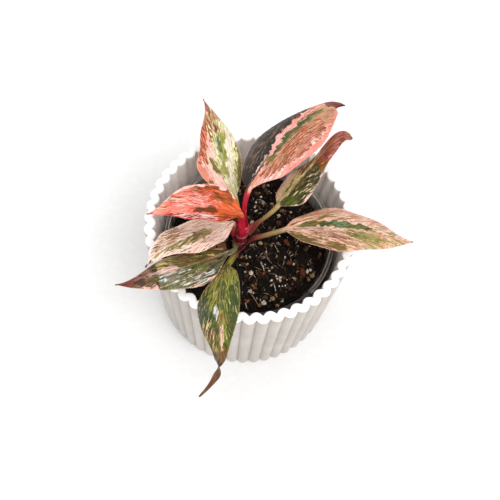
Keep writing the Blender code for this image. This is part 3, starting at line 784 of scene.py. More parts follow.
def leaf_patches(shader, name, t, v, grains, blotch):
    """The blade's colour: its ground, its patches, and fine dark and light streaks."""
    look = LOOKS[name]
    colour = shader.mix(blotch, named(look.ground), named(look.second))
    for patch in PATCHES[name]:
        mask = patch_mask(shader, patch, t, v, grains[patch.grain])
        colour = shader.mix(mask, colour, named(patch.colour))
    for span, tint in ((DARK_SPAN, DARK_TINT), (LIGHT_SPAN, LIGHT_TINT)):
        tinted = shader.mix(1.0, colour, tint, "MULTIPLY")
        colour = shader.mix(shader.span(grains["fine"], *span), colour, tinted)
    return colour


def leaf_lines(shader, look, colour, blade, flat, grains, blotch):
    """The blade's colour with the midrib and the margins drawn on it."""
    across = shader.maths("ABSOLUTE", shader.split(flat)[1])
    rib = shader.span(across, *RIB_SPAN, 0.0, look.midrib_strength)
    rib = shader.times(rib, shader.span(blade[0], *RIB_LENGTH_SPAN))
    rib = shader.times(rib, shader.span(blotch, *RIB_BLOTCH_SPAN))
    colour = shader.mix(rib, colour, named(look.midrib))
    margin = shader.span(shader.maths("ABSOLUTE", blade[1]), *MARGIN_SPAN)
    margin = shader.times(margin, shader.span(grains["streak"], *MARGIN_STREAK_SPAN))
    return shader.mix(margin, colour, named(look.margin))


def stalk_colour(shader, look, blade, grains):
    top = shader.span(blade[0], *STALK_TOP_SPAN)
    colour = shader.mix(top, named(look.stalk_foot), named(look.stalk_top))
    return shader.mix(shader.span(grains["streak"], *STALK_STREAK_SPAN), colour, named("rose"))


def leaf_material(leaf):
    look = LOOKS[leaf.name]
    shader = Shader(leaf.name + "_variegation", LEAF_SPECULAR)
    blade = shader.split(shader.attribute("blade"))
    flat = shader.attribute("flat")
    grains = leaf_grains(shader, flat)
    blotch = shader.span(shader.noise(flat, *BLOTCH_NOISE), *BLOTCH_SPAN)
    warp = shader.wander(flat, *WARP_NOISE)
    t = shader.maths("MULTIPLY_ADD", warp, WARP[0], blade[0])
    v = shader.maths("MULTIPLY_ADD", warp, WARP[1], blade[1])
    colour = leaf_patches(shader, leaf.name, t, v, grains, blotch)
    colour = leaf_lines(shader, look, colour, blade, flat, grains, blotch)
    colour = shader.mix(shader.span(t, look.tip_from, 1.0), colour, named(look.tip))
    stalk = stalk_colour(shader, look, blade, grains)
    colour = shader.mix(shader.span(t, *BLADE_SPAN), stalk, colour)
    below = shader.maths("MULTIPLY_ADD", blade[2], -UNDERSIDE_SHARE, UNDERSIDE_SHARE)
    below = shader.times(below, shader.span(blade[0], *BLADE_SPAN))
    colour = shader.mix(below, colour, named(look.under))
    roughness = shader.span(blotch, 0.0, 1.0, *LEAF_ROUGHNESS)
    relief = shader.maths("MULTIPLY_ADD", grains["streak"], STREAK_SHARE, grains["fine"])
    return shader.finish(colour, roughness, relief, LEAF_BUMP)


def glaze_material():
    shader = Shader("white_glaze")
    place = shader.place()
    cloud = shader.noise(place, *GLAZE_CLOUDS)
    cloudy = shader.swing(cloud)
    inner = shader.mix(cloudy, named("glaze"), named("cloudy_glaze"))
    # Painted shade: the outer wall's glaze is a darker copy of the inner one, as the wall faces
    # sideways from the light above
    outer = shader.mix(cloudy, named("painted_shade_outer_glaze"), named("cloudy_painted_shade_outer_glaze"))
    colour = shader.mix(shader.attribute("outside", "Fac"), inner, outer)
    specks = shader.span(shader.noise(place, *GLAZE_SPECKS), *GLAZE_SPECK_SPAN)
    colour = shader.mix(specks, colour, named("glaze_speck"))
    # Painted light: the rim's rounded top turns lighter than the wall below it, as it faces the
    # light above
    rim = shader.span(shader.split(place)[2], *PAINTED_LIGHT_RIM_SPAN)
    colour = shader.mix(rim, colour, named("painted_light_glaze_rim"))
    dimples = shader.noise(place, *GLAZE_DIMPLES)
    return shader.finish(colour, shader.swing(cloud, *GLAZE_ROUGHNESS), dimples, GLAZE_BUMP)


def plastic_material():
    """Clear plastic: the two edges of its rim have a painted highlight, and mix clings to its
    front.
    """
    shader = Shader("scuffed_clear_plastic")
    place = shader.place()
    x, y, z = shader.split(place)
    scuff = shader.noise(shader.stretch(place, *SCUFF_STRETCH), *SCUFFS)
    flat = shader.vector(x, y, 0.0)
    radius = shader.node("VectorMath", {0: flat}, operation="LENGTH").outputs[1]
    middle = (LINER_RIM_RADIUS + LINER_TOP_RADIUS - LINER_WALL) / 2
    from_middle = shader.maths("ABSOLUTE", shader.maths("SUBTRACT", radius, middle))
    top = LINER_BASE + LINER_HEIGHT
    near_top = shader.span(z, top - 2 * LINER_ROUND, top - LINER_ROUND)
    edge = shader.times(shader.span(from_middle, *RIM_EDGE_SPAN), near_top)
    colour = shader.mix(shader.swing(scuff), named("clear"), named("scuffed_clear"))
    # Painted highlight: the rim's two edges are lighter and less clear
    colour = shader.mix(edge, colour, named("painted_highlight_clear_rim"))
    ragged = shader.maths("MULTIPLY_ADD", shader.wander(place, *SPILL_CRUMBS), SPILL_RAGGED, y)
    spill = shader.span(ragged, *SPILL_SPAN)
    colour = shader.mix(spill, colour, named("clinging_mix"))
    alpha = shader.span(edge, 0.0, 1.0, CLEAR_ALPHA, RIM_ALPHA)
    shader.set("Alpha", shader.maths("MAXIMUM", alpha, spill))
    return shader.finish(colour, shader.swing(scuff, *PLASTIC_ROUGHNESS), scuff, PLASTIC_BUMP)


def soil_material():
    shader = Shader("potting_mix_grains", MIX_SPECULAR)
    mottle = shader.noise(shader.place(), *MIX_MOTTLE)
    tint = shader.attribute("tint", "Color")
    dark = shader.mix(MIX_SHADOW_SHARE, tint, named("mix_shadow"))
    colour = shader.mix(shader.span(mottle, *MIX_LIGHT_SPAN), dark, tint)
    return shader.finish(colour, shader.swing(mottle, *MIX_ROUGHNESS), mottle, MIX_BUMP)


def stem_material():
    shader = Shader("red_stem_skin")
    place = shader.place()
    height = shader.split(place)[2]
    streak = shader.noise(shader.stretch(place, *STEM_STRETCH), *STEM_STREAKS)
    red = shader.span(height, *STEM_RED_SPAN)
    colour = shader.mix(red, named("maroon"), named("crimson"))
    colour = shader.mix(shader.span(streak, *STEM_STREAK_SPAN), colour, named("rose"))
    for scar in STEM_SCARS:
        level = STEM_FOOT.z + (STEM_TOP.z - STEM_FOOT.z) * scar
        ring = window(shader, height, (level - SCAR_LINE, level + SCAR_LINE), SCAR_LINE)
        colour = shader.mix(shader.times(ring, SCAR_SHARE), colour, named("pale_pink"))
    return shader.finish(colour, shader.swing(streak, *STEM_ROUGHNESS), streak, STEM_BUMP)


def scrap_material():
    shader = Shader("dried_sheath_fibres")
    fibre = shader.noise(shader.stretch(shader.attribute("flat"), *FIBRE_STRETCH), *FIBRES)
    tint = shader.attribute("tint", "Color")
    colour = shader.mix(shader.swing(fibre, 0.0, FIBRE_SHARE), tint, named("dry_fibre"))
    return shader.finish(colour, shader.swing(fibre, *FIBRE_ROUGHNESS), fibre, FIBRE_BUMP)


def floor_material():
    shader = Shader("pale_paper")
    grain = shader.swing(shader.noise(shader.place(), *PAPER_GRAIN))
    shader.set("Base Color", shader.mix(grain, named("paper"), named("paper_grain")))
    shader.set("Roughness", PAPER_ROUGHNESS)
    return shader.material


# Meshes


def add_piece(name, points, faces, material, node=None, slot=None):
    """A piece of one material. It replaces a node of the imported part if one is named."""
    mesh = bpy.data.meshes.new(name)
    mesh.from_pydata([tuple(point) for point in points], [], faces)
    mesh.materials.append(material)
    mesh.shade_smooth()
    mesh.set_sharp_from_angle(angle=SMOOTH_ANGLE)
    piece = bpy.data.objects.new(name, mesh)
    bpy.context.scene.collection.objects.link(piece)
    if node:
        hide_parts(node)
    return piece


def add_values(piece, name, kind, values):
    """A value for each point of the piece's mesh, which its material reads by name."""
    layer = piece.data.attributes.new(name, kind, "POINT")
    field = {"FLOAT": "value", "FLOAT_COLOR": "color", "FLOAT_VECTOR": "vector"}[kind]
    layer.data.foreach_set(field, np.asarray(values, dtype=np.float32).ravel())


def loft_faces(rings, count):
    """Faces of a closed body through rings of equal count, capped at both ends."""
    faces = []
    for i in range(rings - 1):
        low = i * count
        high = low + count
        for j in range(count):
            k = (j + 1) % count
            faces.append((low + j, low + k, high + k, high + j))
    faces.append(tuple(reversed(range(count))))
    faces.append(tuple(range((rings - 1) * count, rings * count)))
    return faces


def loft(name, rings, material, node=None, slot=None):
    points = [point for ring in rings for point in ring]
    return add_piece(name, points, loft_faces(len(rings), len(rings[0])), material, node, slot)


def circle(radius, height, sides, middle=(0.0, 0.0)):
    ring = []
    for i in range(sides):
        angle = 2 * math.pi * i / sides
        x = middle[0] + radius * math.cos(angle)
        y = middle[1] + radius * math.sin(angle)
        ring.append(Vector((x, y, height)))
    return ring


def flute_ring(inset, height, inner):
    """A waved ring. The outside bulges between its notches, and the inside half a flute on."""
    ring = []
    steps = FLUTES * FLUTE_SIDES
    for i in range(steps):
        angle = 2 * math.pi * i / steps
        wave = math.cos(FLUTES * angle / 2) if inner else math.sin(FLUTES * angle / 2)
        bulge = math.hypot(wave, FLUTE_NOTCH) - FLUTE_NOTCH
        bulge = (bulge / (math.hypot(1, FLUTE_NOTCH) - FLUTE_NOTCH)) ** FLUTE_FULLNESS
        if inner:
            radius = POT_RADIUS - POT_WALL - FLUTE_DEPTH * bulge + inset
        else:
            radius = POT_RADIUS - FLUTE_DEPTH + FLUTE_DEPTH * bulge - inset
        turned = angle + FLUTE_TURN - math.pi / 2
        ring.append(Vector((radius * math.cos(turned), radius * math.sin(turned), height)))
    return ring


def rounding(radius, steps):
    """Inset and drop of points round a quarter turn, from the side up to the top."""
    places = []
    for i in range(steps + 1):
        angle = math.pi / 2 * i / steps
        places.append((radius * (1 - math.cos(angle)), radius * (1 - math.sin(angle))))
    return places


def build_pot():
    edge = rounding(POT_ROUND, POT_ROUND_STEPS)
    rings = [flute_ring(inset, drop, inner=False) for inset, drop in reversed(edge)]
    rings += [flute_ring(inset, POT_HEIGHT - drop, inner=False) for inset, drop in edge]
    rings += [flute_ring(inset, POT_HEIGHT - drop, inner=True) for inset, drop in reversed(edge)]
    rings.append(flute_ring(0, POT_FLOOR, inner=True))
    pot = loft("pot_glazed", rings, glaze_material(), "pot", "glazed_white")
    # The outside's points, which the glaze darkens with painted shade
    outside = 2 * len(edge) * len(rings[0])
    values = [1.0] * outside + [0.0] * (len(pot.data.vertices) - outside)
    add_values(pot, "outside", "FLOAT", values)
    return pot


def liner_radius(height):
    """The nursery pot's outer radius at this height above the ground."""
    share = (height - LINER_BASE) / LINER_HEIGHT
    return LINER_BASE_RADIUS + (LINER_TOP_RADIUS - LINER_BASE_RADIUS) * share


def cut(piece, cutters):
    """Cuts each of the closed bodies in the list out of the piece, then removes them."""
    for cutter in cutters:
        modifier = piece.modifiers.new("Cut", "BOOLEAN")
        modifier.operation = "DIFFERENCE"
        modifier.object = cutter
        bpy.context.view_layer.objects.active = piece
        bpy.ops.object.modifier_apply(modifier=modifier.name)
        bpy.data.objects.remove(cutter)


def build_nursery_pot():
    top = LINER_BASE + LINER_HEIGHT
    rim = top - LINER_RIM_DROP
    inside = LINER_BASE + LINER_WALL
    edge = rounding(LINER_ROUND, POT_ROUND_STEPS)
    profile = [(LINER_BASE_RADIUS - inset, LINER_BASE + drop) for inset, drop in reversed(edge)]
    profile.append((liner_radius(rim), rim))
    profile += [(LINER_RIM_RADIUS - inset, rim + drop) for inset, drop in reversed(edge)]
    profile += [(LINER_RIM_RADIUS - inset, top - drop) for inset, drop in edge]
    inner = liner_radius(top) - LINER_WALL
    profile += [(inner + inset, top - drop) for inset, drop in reversed(edge)]
    profile.append((liner_radius(inside) - LINER_WALL, inside))
    rings = [circle(radius, height, LINER_SIDES) for radius, height in profile]
    plastic = plastic_material()
    liner = loft("nursery_pot_clear", rings, plastic, "nursery_pot", "clear_plastic")
    holes = []
    for i in range(DRAIN_HOLES):
        angle = 2 * math.pi * i / DRAIN_HOLES
        middle = (DRAIN_RING_RADIUS * math.cos(angle), DRAIN_RING_RADIUS * math.sin(angle))
        ends = [
            circle(DRAIN_HOLE_RADIUS, LINER_BASE - LINER_WALL, DRAIN_HOLE_SIDES, middle),
            circle(DRAIN_HOLE_RADIUS, inside + LINER_WALL, DRAIN_HOLE_SIDES, middle),
        ]
        holes.append(loft(f"drain_hole_{i}", ends, plastic))
    cut(liner, holes)
    return liner


def soil_height(x, y):
    """The top of the mix as the solid has it."""
    return SOIL_TOP + SOIL_SWELL * noise.fractal(Vector((x, y, 0)) / SOIL_SWELL_SIZE, *SWELL_NOISE)


class Grains:
    """Many small closed bodies gathered into one mesh, with a colour for each point."""

    def __init__(self):
        self.points = []
        self.faces = []
        self.tints = []

    def add(self, points, faces, tint):
        start = len(self.points)
        self.points += points
        self.faces += [tuple(start + corner for corner in face) for face in faces]
        self.tints += [tint] * len(points)


def ball(subdivisions):
    """Points and faces of a round ball with a radius of 1."""
    body = bmesh.new()
    bmesh.ops.create_icosphere(body, subdivisions=subdivisions, radius=1)
    points = [vertex.co.copy() for vertex in body.verts]
    faces = [tuple(vertex.index for vertex in face.verts) for face in body.faces]
    body.free()
    return points, faces


def shade(colour, draw, spread):
    """A colour from 0 to 255 made a little lighter or darker."""
    factor = draw.uniform(1 - spread, 1 + spread)
    return screen(*(min(255, value * factor) for value in colour))


def add_lump(grains, shape, middle, sizes, tint, draw):
    """A ball of the given half sizes, dented all over and turned at random."""
    points, faces = shape
    turn = Matrix.Rotation(draw.uniform(0, 2 * math.pi), 3, "Z")
    turn = turn @ Matrix.Rotation(draw.uniform(-LUMP_TILT, LUMP_TILT), 3, "X")
    placed = []
    for point in points:
        dent = draw.uniform(1 - LUMP_DENTS, 1 + LUMP_DENTS)
        stretched = Vector((point.x * sizes[0], point.y * sizes[1], point.z * sizes[2])) * dent
        placed.append(turn @ stretched + middle)
    grains.add(placed, faces, tint)


def add_thread(grains, path, radius, tint, sides):
    """A root thread or straw through the points of the path, slimmer at its ends."""
    points = []
    for i, place in enumerate(path):
        ahead = path[min(i + 1, len(path) - 1)] - path[max(i - 1, 0)]
        side = ahead.cross(Vector((0, 0, 1))).normalized()
        up = side.cross(ahead).normalized()
        share = THREAD_END + (1 - 2 * THREAD_END) * i / (len(path) - 1)
        taper = radius * math.sin(math.pi * share)
        for j in range(sides):
            angle = 2 * math.pi * j / sides
            points.append(place + (side * math.cos(angle) + up * math.sin(angle)) * taper)
    grains.add(points, loft_faces(len(path), sides), tint)


# The photograph's camera


def camera_axes():
    """Ways to the right, up and back from the camera."""
    back = Vector((0, -math.cos(CAMERA_ELEVATION), math.sin(CAMERA_ELEVATION)))
    up = Vector((0, math.sin(CAMERA_ELEVATION), math.cos(CAMERA_ELEVATION)))
    right = Vector((1, 0, 0))
    cosine, sine = math.cos(CAMERA_ROLL), math.sin(CAMERA_ROLL)
    return right * cosine - up * sine, right * sine + up * cosine, back


def camera_place():
    right, up, back = camera_axes()
    rim = Vector((0, 0, POT_HEIGHT))
    return rim + back * CAMERA_DISTANCE - right * RIM_RIGHT - up * RIM_ABOVE


def on_soil(pixel, lift):
    """The place on the mix that the photograph shows at this pixel, lifted a little."""
    right, up, back = camera_axes()
    focal = CAMERA_LENS / CAMERA_SENSOR * PHOTO_SIZE
    across = (pixel[0] - PHOTO_SIZE / 2) / focal
    above = (PHOTO_SIZE / 2 - pixel[1]) / focal
    ray = right * across + up * above - back
    start = camera_place()
    place = start + ray * ((SOIL_TOP - start.z) / ray.z)
    return Vector((place.x, place.y, soil_height(place.x, place.y))) + Vector((0, 0, lift))


# Where the photograph shows grains and threads on the mix, in its pixels
SEEN_GRAINS = (
    ("perlite", 0.00038, (
        (253, 245), (240, 266), (246, 256), (285, 286), (279, 287), (282, 287), (260, 300),
        (298, 246), (308, 265), (242, 297), (269, 192), (253, 200), (256, 204), (261, 202),
        (288, 237), (287, 280), (270, 301),
    )),
    ("perlite", 0.00055, (
        (265, 254), (285, 257), (245, 272), (269, 272), (253, 293), (276, 277), (277, 280),
        (280, 278), (280, 281), (250, 257), (294, 264), (310, 271), (282, 302), (291, 212),
        (268, 186), (261, 198), (256, 212),
    )),
    ("perlite", 0.0009, (
        (251, 273), (307, 272), (264, 303), (250, 291), (278, 217), (252, 223),
    )),
    ("tan", 0.0009, ((277, 306), (247, 265), (273, 299), (312, 276))),
    ("bark", 0.0011, ((279, 223), (286, 241), (302, 271), (303, 274), (290, 262))),
)
SEEN_THREADS = (
    (0.00022, "root", ((271, 245), (274, 244))),
    (0.00015, "root", ((274, 245), (276, 248), (279, 253))),
    (0.00015, "dull_root", ((257, 259), (262, 257), (267, 259), (273, 265), (279, 270))),
    (0.00018, "root", ((261, 262), (263, 268), (264, 272))),
    (0.00016, "dull_root", ((254, 267), (258, 269), (262, 271))),
    (0.00015, "tan", ((263, 271), (265, 269), (268, 269), (269, 272))),
    (0.00022, "root", ((273, 283), (275, 290), (277, 299))),
    (0.00020, "root", ((290, 275), (293, 278), (296, 280))),
    (0.00018, "root", ((290, 256), (294, 254))),
    (0.00015, "dull_root", ((298, 246), (296, 252), (295, 257))),
    (0.00020, "tan", ((250, 293), (255, 300), (259, 307))),
    (0.00022, "root", ((245, 303), (247, 309))),
    (0.00014, "tan", ((248, 280), (253, 275), (257, 281))),
    (0.00014, "dull_root", ((276, 233), (277, 237), (276, 241))),
)
GRAIN_COLOURS = {
    "perlite": (232, 222, 200),
    "tan": (190, 156, 112),
    "bark": (120, 66, 44),
    "root": (226, 206, 180),
    "dull_root": (150, 122, 104),
    "dark_bark": (62, 44, 33),
}
CRUMB_TINTS = (
    ((24, 17, 12), 10),
    ((42, 30, 21), 6),
    ((80, 56, 38), 3),
    ((126, 94, 64), 1.6),
    ((178, 146, 110), 0.9),
    ((226, 210, 186), 0.7),
)
SOIL_SEED = 7
# Where a size is random, it is drawn between the two values
CRUMBS = 2300
CRUMB_RADII = (0.00022, 0.00105)
CRUMB_STRETCH = (0.6, 1.3)
CRUMB_RISE = (-0.4, 0.5)
# The higher this power, the fewer crumbs are large
CRUMB_FINENESS = 3
# Crumbs above this radius have more faces
PEBBLE_FROM = 2 * CRUMB_RADII[0]
FLAKES = 150
FLAKE_SIZES = (0.0005, 0.0015)
FLAKE_WIDTHS = (0.25, 0.6)
FLAKE_THICKNESS = 0.16
FLAKE_KINDS = ("bark", "dark_bark", "dark_bark")
STRAWS = 120
# Straws keep this far from the mix's edge
STRAW_EDGE = 0.004
STRAW_LENGTHS = (0.0012, 0.0040)
STRAW_RADII = (0.00005, 0.00013)
STRAW_LIFT = 0.00035
STRAW_BEND = 0.5
STRAW_HUMP = 1.6
STRAW_STEPS = 4
STRAW_SIDES = 5
STRAW_KINDS = ("root", "dull_root", "bark")
SEEN_STRETCH = (0.7, 1.2)
GRAIN_LIFT = 0.0003
THREAD_LIFT = 0.0006
THREAD_STEPS = 5
THREAD_SIDES = 6
# How much lighter or darker a grain may be than its kind
CRUMB_SHADES = 0.3
FLAKE_SHADES = 0.35
STRAW_SHADES = 0.25
SEEN_SHADES = 0.12
THREAD_SHADES = 0.1
# How far a lump may tip, in radians, and how deep its dents may be
LUMP_TILT = 0.5
LUMP_DENTS = 0.25
# A thread's end is this share of a half turn into its swelling
THREAD_END = 0.1


def soil_spots(draw, count, edge):
    """Random places on the mix, clear of the stem and the nursery pot's wall."""
    while count:
        x = draw.uniform(-edge, edge)
        y = draw.uniform(-edge, edge)
        from_stem = math.hypot(x - STEM_FOOT.x, y - STEM_FOOT.y)
        if math.hypot(x, y) < edge and from_stem > SOIL_CLEAR_ROUND_STEM:
            count -= 1
            yield Vector((x, y, soil_height(x, y)))


def soil_surface(grains, edge_radius):
    """The mix's rough surface from the stem's hole outwards, and its smooth sides."""
    hole = STEM_RADII[0] + GAP
    base = LINER_BASE + LINER_WALL + GAP
    rings = [circle(liner_radius(base) - LINER_WALL - GAP, base, LINER_SIDES)]
    for i in reversed(range(SOIL_RINGS)):
        share = i / (SOIL_RINGS - 1)
        middle = ((1 - share) * STEM_FOOT.x, (1 - share) * STEM_FOOT.y)
        ring = circle(hole + (edge_radius - hole) * share, 0, LINER_SIDES, middle)
        for point in ring:
            grit = noise.fractal(Vector((point.x, point.y, 1)) / SOIL_GRIT_SIZE, *GRIT_NOISE)
            ease = min(1, i / SOIL_GRIT_EASE)
            point.z = soil_height(point.x, point.y) + SOIL_GRIT * (grit - 1) * ease
        rings.append(ring)
    rings.append(circle(hole, STEM_FOOT.z - GAP, LINER_SIDES, (STEM_FOOT.x, STEM_FOOT.y)))
    points = [point for ring in rings for point in ring]
    grains.add(points, loft_faces(len(rings), LINER_SIDES), named("mix"))


def add_crumbs(grains, draw, edge, pebble, speck):
    tints, weights = zip(*CRUMB_TINTS)
    low, high = CRUMB_RADII
    for spot in soil_spots(draw, CRUMBS, edge - high):
        radius = low + (high - low) * draw.random() ** CRUMB_FINENESS
        sizes = [radius * draw.uniform(*CRUMB_STRETCH) for _ in range(3)]
        tint = shade(draw.choices(tints, weights)[0], draw, CRUMB_SHADES)
        spot.z += radius * draw.uniform(*CRUMB_RISE)
        shape = pebble if radius > PEBBLE_FROM else speck
        add_lump(grains, shape, spot, sizes, tint, draw)


def add_flakes(grains, draw, edge, speck):
    for spot in soil_spots(draw, FLAKES, edge - 2 * CRUMB_RADII[1]):
        size = draw.uniform(*FLAKE_SIZES)
        sizes = (size, size * draw.uniform(*FLAKE_WIDTHS), size * FLAKE_THICKNESS)
        tint = shade(GRAIN_COLOURS[draw.choice(FLAKE_KINDS)], draw, FLAKE_SHADES)
        add_lump(grains, speck, spot + Vector((0, 0, GRAIN_LIFT)), sizes, tint, draw)


def add_seen_grains(grains, draw, pebble):
    """The perlite, bark and root threads that the photograph shows."""
    for kind, radius, pixels in SEEN_GRAINS:
        for pixel in pixels:
            sizes = [radius * draw.uniform(*SEEN_STRETCH) for _ in range(3)]
            tint = shade(GRAIN_COLOURS[kind], draw, SEEN_SHADES)
            add_lump(grains, pebble, on_soil(pixel, GRAIN_LIFT), sizes, tint, draw)
    for radius, kind, pixels in SEEN_THREADS:
        path = smooth_path([on_soil(pixel, THREAD_LIFT) for pixel in pixels], THREAD_STEPS)
        tint = shade(GRAIN_COLOURS[kind], draw, THREAD_SHADES)
        add_thread(grains, path, radius, tint, THREAD_SIDES)


def add_straws(grains, draw, edge):
    for spot in soil_spots(draw, STRAWS, edge - STRAW_EDGE):
        angle = draw.uniform(0, 2 * math.pi)
        length = draw.uniform(*STRAW_LENGTHS)
        ahead = Vector((math.cos(angle), math.sin(angle), 0)) * length / 2
        bend = Vector((-ahead.y, ahead.x, 0)) * draw.uniform(-STRAW_BEND, STRAW_BEND)
        lift = Vector((0, 0, STRAW_LIFT))
        path = [spot - ahead + lift, spot + bend + lift * STRAW_HUMP, spot + ahead + lift]
        path = smooth_path(path, STRAW_STEPS)
        tint = shade(GRAIN_COLOURS[draw.choice(STRAW_KINDS)], draw, STRAW_SHADES)
        add_thread(grains, path, draw.uniform(*STRAW_RADII), tint, STRAW_SIDES)


def smooth_path(path, steps):
    """A smooth curve through the points, with the given number of steps between each two."""
    ends = [path[0] * 2 - path[1], *path, path[-1] * 2 - path[-2]]
    curve = []
    for i in range(len(path) - 1):
        a, b, c, d = ends[i:i + 4]
        for j in range(steps):
            s = j / steps
            curve.append((b * 2 + (c - a) * s + (a * 2 - b * 5 + c * 4 - d) * s * s
                          + (b * 3 - a - c * 3 + d) * s**3) / 2)
    curve.append(path[-1])
    return curve


def build_soil():
    draw = random.Random(SOIL_SEED)
    grains = Grains()
    edge = liner_radius(SOIL_TOP) - LINER_WALL - GAP - SOIL_EDGE_CLEARANCE
    soil_surface(grains, edge)
    pebble = ball(subdivisions=2)
    speck = ball(subdivisions=1)
    add_crumbs(grains, draw, edge, pebble, speck)
    add_flakes(grains, draw, edge, speck)
    add_seen_grains(grains, draw, pebble)
    add_straws(grains, draw, edge)
    piece = add_piece(
        "potting_mix", grains.points, grains.faces, soil_material(), "soil", "potting_mix"
    )
    add_values(piece, "tint", "FLOAT_COLOR", grains.tints)
    return piece


def stem_axis(height):
    share = (height - STEM_FOOT.z) / (STEM_TOP.z - STEM_FOOT.z)
    return STEM_FOOT.lerp(STEM_TOP, share), share


def stem_radius(share):
    scars = sum(math.exp(-((share - scar) / STEM_SCAR_SPREAD) ** 2) for scar in STEM_SCARS)
    plain = STEM_RADII[0] + (STEM_RADII[1] - STEM_RADII[0]) * share
    return plain - STEM_SCAR_RISE + STEM_SCAR_RISE * scars


def build_stem():
    rings = []
    for i in range(STEM_RINGS):
        height = STEM_FOOT.z + (STEM_TOP.z - STEM_FOOT.z) * i / (STEM_RINGS - 1)
        middle, share = stem_axis(height)
        rings.append(circle(stem_radius(share), height, STEM_SIDES, middle.xy))
    for i in range(1, STEM_CROWN_STEPS):
        angle = math.pi / 2 * i / STEM_CROWN_STEPS
        height = STEM_TOP.z + STEM_CROWN * math.sin(angle)
        rings.append(circle(stem_radius(1) * math.cos(angle), height, STEM_SIDES, STEM_TOP.xy))
    return loft("stem_skin", rings, stem_material(), "stem", "red_stem")


# Leaves


def ramp(t, start, end):
    """A smooth rise from 0 at the start to 1 at the end."""
    share = np.clip((t - start) / (end - start), 0, 1)
    return share * share * (3 - 2 * share)


def blade_outline(leaf, t):
    """Half width of the blade along it: an egg shape, with a slim tip drawn out of it."""
    widest = leaf.blunt / (leaf.blunt + leaf.taper)
    peak = widest**leaf.blunt * (1 - widest) ** leaf.taper
    egg = t**leaf.blunt * (1 - t) ** leaf.taper / peak
    # This curve is at its widest two thirds of the way along
    slim = t * np.sqrt(1 - t) / (2 / 3 * math.sqrt(1 / 3))
    return leaf.width / 2 * ((1 - leaf.drip_tip) * egg + leaf.drip_tip * slim)


def lobe_share(t):
    """1 near the base, where a lobe widens its margin, and -1 beyond, where it narrows it."""
    return ramp(t, *LOBE_RISE) * (1 - 2 * ramp(t, *LOBE_FALL))


def blade_frame(leaf, t):
    """Direction of the midrib, and the way to the left margin, at each share t of its length."""
    end = ramp(t, leaf.hook_from, 1)
    heading = np.radians(leaf.heading + leaf.turn * t + leaf.hook * end)
    pitch = np.radians(leaf.pitch + leaf.droop * t + leaf.nod * end)
    roll = np.radians(leaf.roll + leaf.twist * ramp(t, leaf.twist_from, leaf.twist_to))
    level = np.stack([np.cos(heading), np.sin(heading), 0 * t], axis=1)
    left = np.stack([-np.sin(heading), np.cos(heading), 0 * t], axis=1)
    up = np.array([0.0, 0.0, 1.0])
    along = np.cos(pitch)[:, None] * level + np.sin(pitch)[:, None] * up
    normal = np.cos(pitch)[:, None] * up - np.sin(pitch)[:, None] * level
    return along, np.cos(roll)[:, None] * left + np.sin(roll)[:, None] * normal


def midrib(leaf, t):
    """Points of the midrib, from adding up short steps along its direction."""
    fine = np.linspace(0, 1, MIDRIB_STEPS + 1)
    along, _ = blade_frame(leaf, fine)
    steps = (along[1:] + along[:-1]) / 2 * leaf.length / MIDRIB_STEPS
    path = np.vstack([np.zeros(3), np.cumsum(steps, axis=0)]) + np.array(leaf.base)
    return np.stack([np.interp(t, fine, path[:, axis]) for axis in range(3)], axis=1)


def stalk_line(leaf, count):
    """Points of the stalk: up beside the stem, then over to the blade's base."""
    middle, share = stem_axis(leaf.foot_height)
    side = math.radians(leaf.foot_side)
    outward = np.array([math.cos(side), math.sin(side), 0.0])
    up = np.array([0.0, 0.0, 1.0])
    along = blade_frame(leaf, np.zeros(1))[0][0]
    if leaf.foot_height > STEM_TOP.z:
        foot = np.array([*STEM_TOP.xy, STEM_TOP.z + GAP + STALK_CLEARANCE])
    else:
        foot = np.array(middle) + outward * (stem_radius(share) + GAP + STALK_CLEARANCE)
    end = np.array(leaf.base)
    span = np.linalg.norm(end - foot)
    arrive = along + up * leaf.stalk_rise
    arrive /= np.linalg.norm(arrive)
    leave = up * leaf.stalk_lift + outward * (STALK_SPREAD - leaf.stalk_lift)
    pull_1 = foot + leave * span * STALK_PULL_AT_FOOT
    pull_2 = end - arrive * span * STALK_PULL_AT_BLADE
    s = np.linspace(0, 1, count)[:, None]
    return (
        (1 - s) ** 3 * foot
        + 3 * s * (1 - s) ** 2 * pull_1
        + 3 * s**2 * (1 - s) * pull_2
        + s**3 * end
    )


def soften(line, steps):
    """The line with its bends spread over a few points, and its ends kept."""
    lead = [line[0] * 2 - line[i] for i in range(steps, 0, -1)]
    trail = [line[-1] * 2 - line[-1 - i] for i in range(1, steps + 1)]
    longer = np.vstack([lead, line, trail])
    window_sum = np.cumsum(np.vstack([np.zeros(3), longer]), axis=0)
    width = 2 * steps + 1
    return (window_sum[width:] - window_sum[:-width]) / width


def leaf_stations(leaf):
    """For each ring of the leaf: its middle, the two ways across it, and its section's sizes."""
    stalk = stalk_line(leaf, STALK_STATIONS)[:-1]
    t = np.linspace(0, 1, BLADE_STATIONS)
    line = soften(np.vstack([stalk, midrib(leaf, t)]), STALK_BEND_STEPS)
    tangent = np.gradient(line, axis=0)
    tangent /= np.linalg.norm(tangent, axis=1)[:, None]
    lead = len(stalk)
    blade_left = blade_frame(leaf, t)[1]
    side = math.radians(leaf.foot_side)
    stem_left = np.array([-math.sin(side), math.cos(side), 0.0])
    share = np.linspace(0, 1, lead, endpoint=False)[:, None]
    left = np.vstack([(1 - share) * stem_left + share * blade_left[0], blade_left])
    left -= (left * tangent).sum(axis=1)[:, None] * tangent
    left /= np.linalg.norm(left, axis=1)[:, None]
    normal = np.cross(tangent, left)
    t_all = np.concatenate([np.zeros(lead), t])
    s_all = np.concatenate([np.linspace(0, 1, lead, endpoint=False), np.ones(len(t))])
    return line, left, normal, t_all, s_all


def uneven(distance, seed):
    """A wandering value between about -1 and 1."""
    waves = [np.sin(pace * distance + shift * seed) for pace, shift in UNEVEN_WAVES]
    return sum(waves) / len(waves)


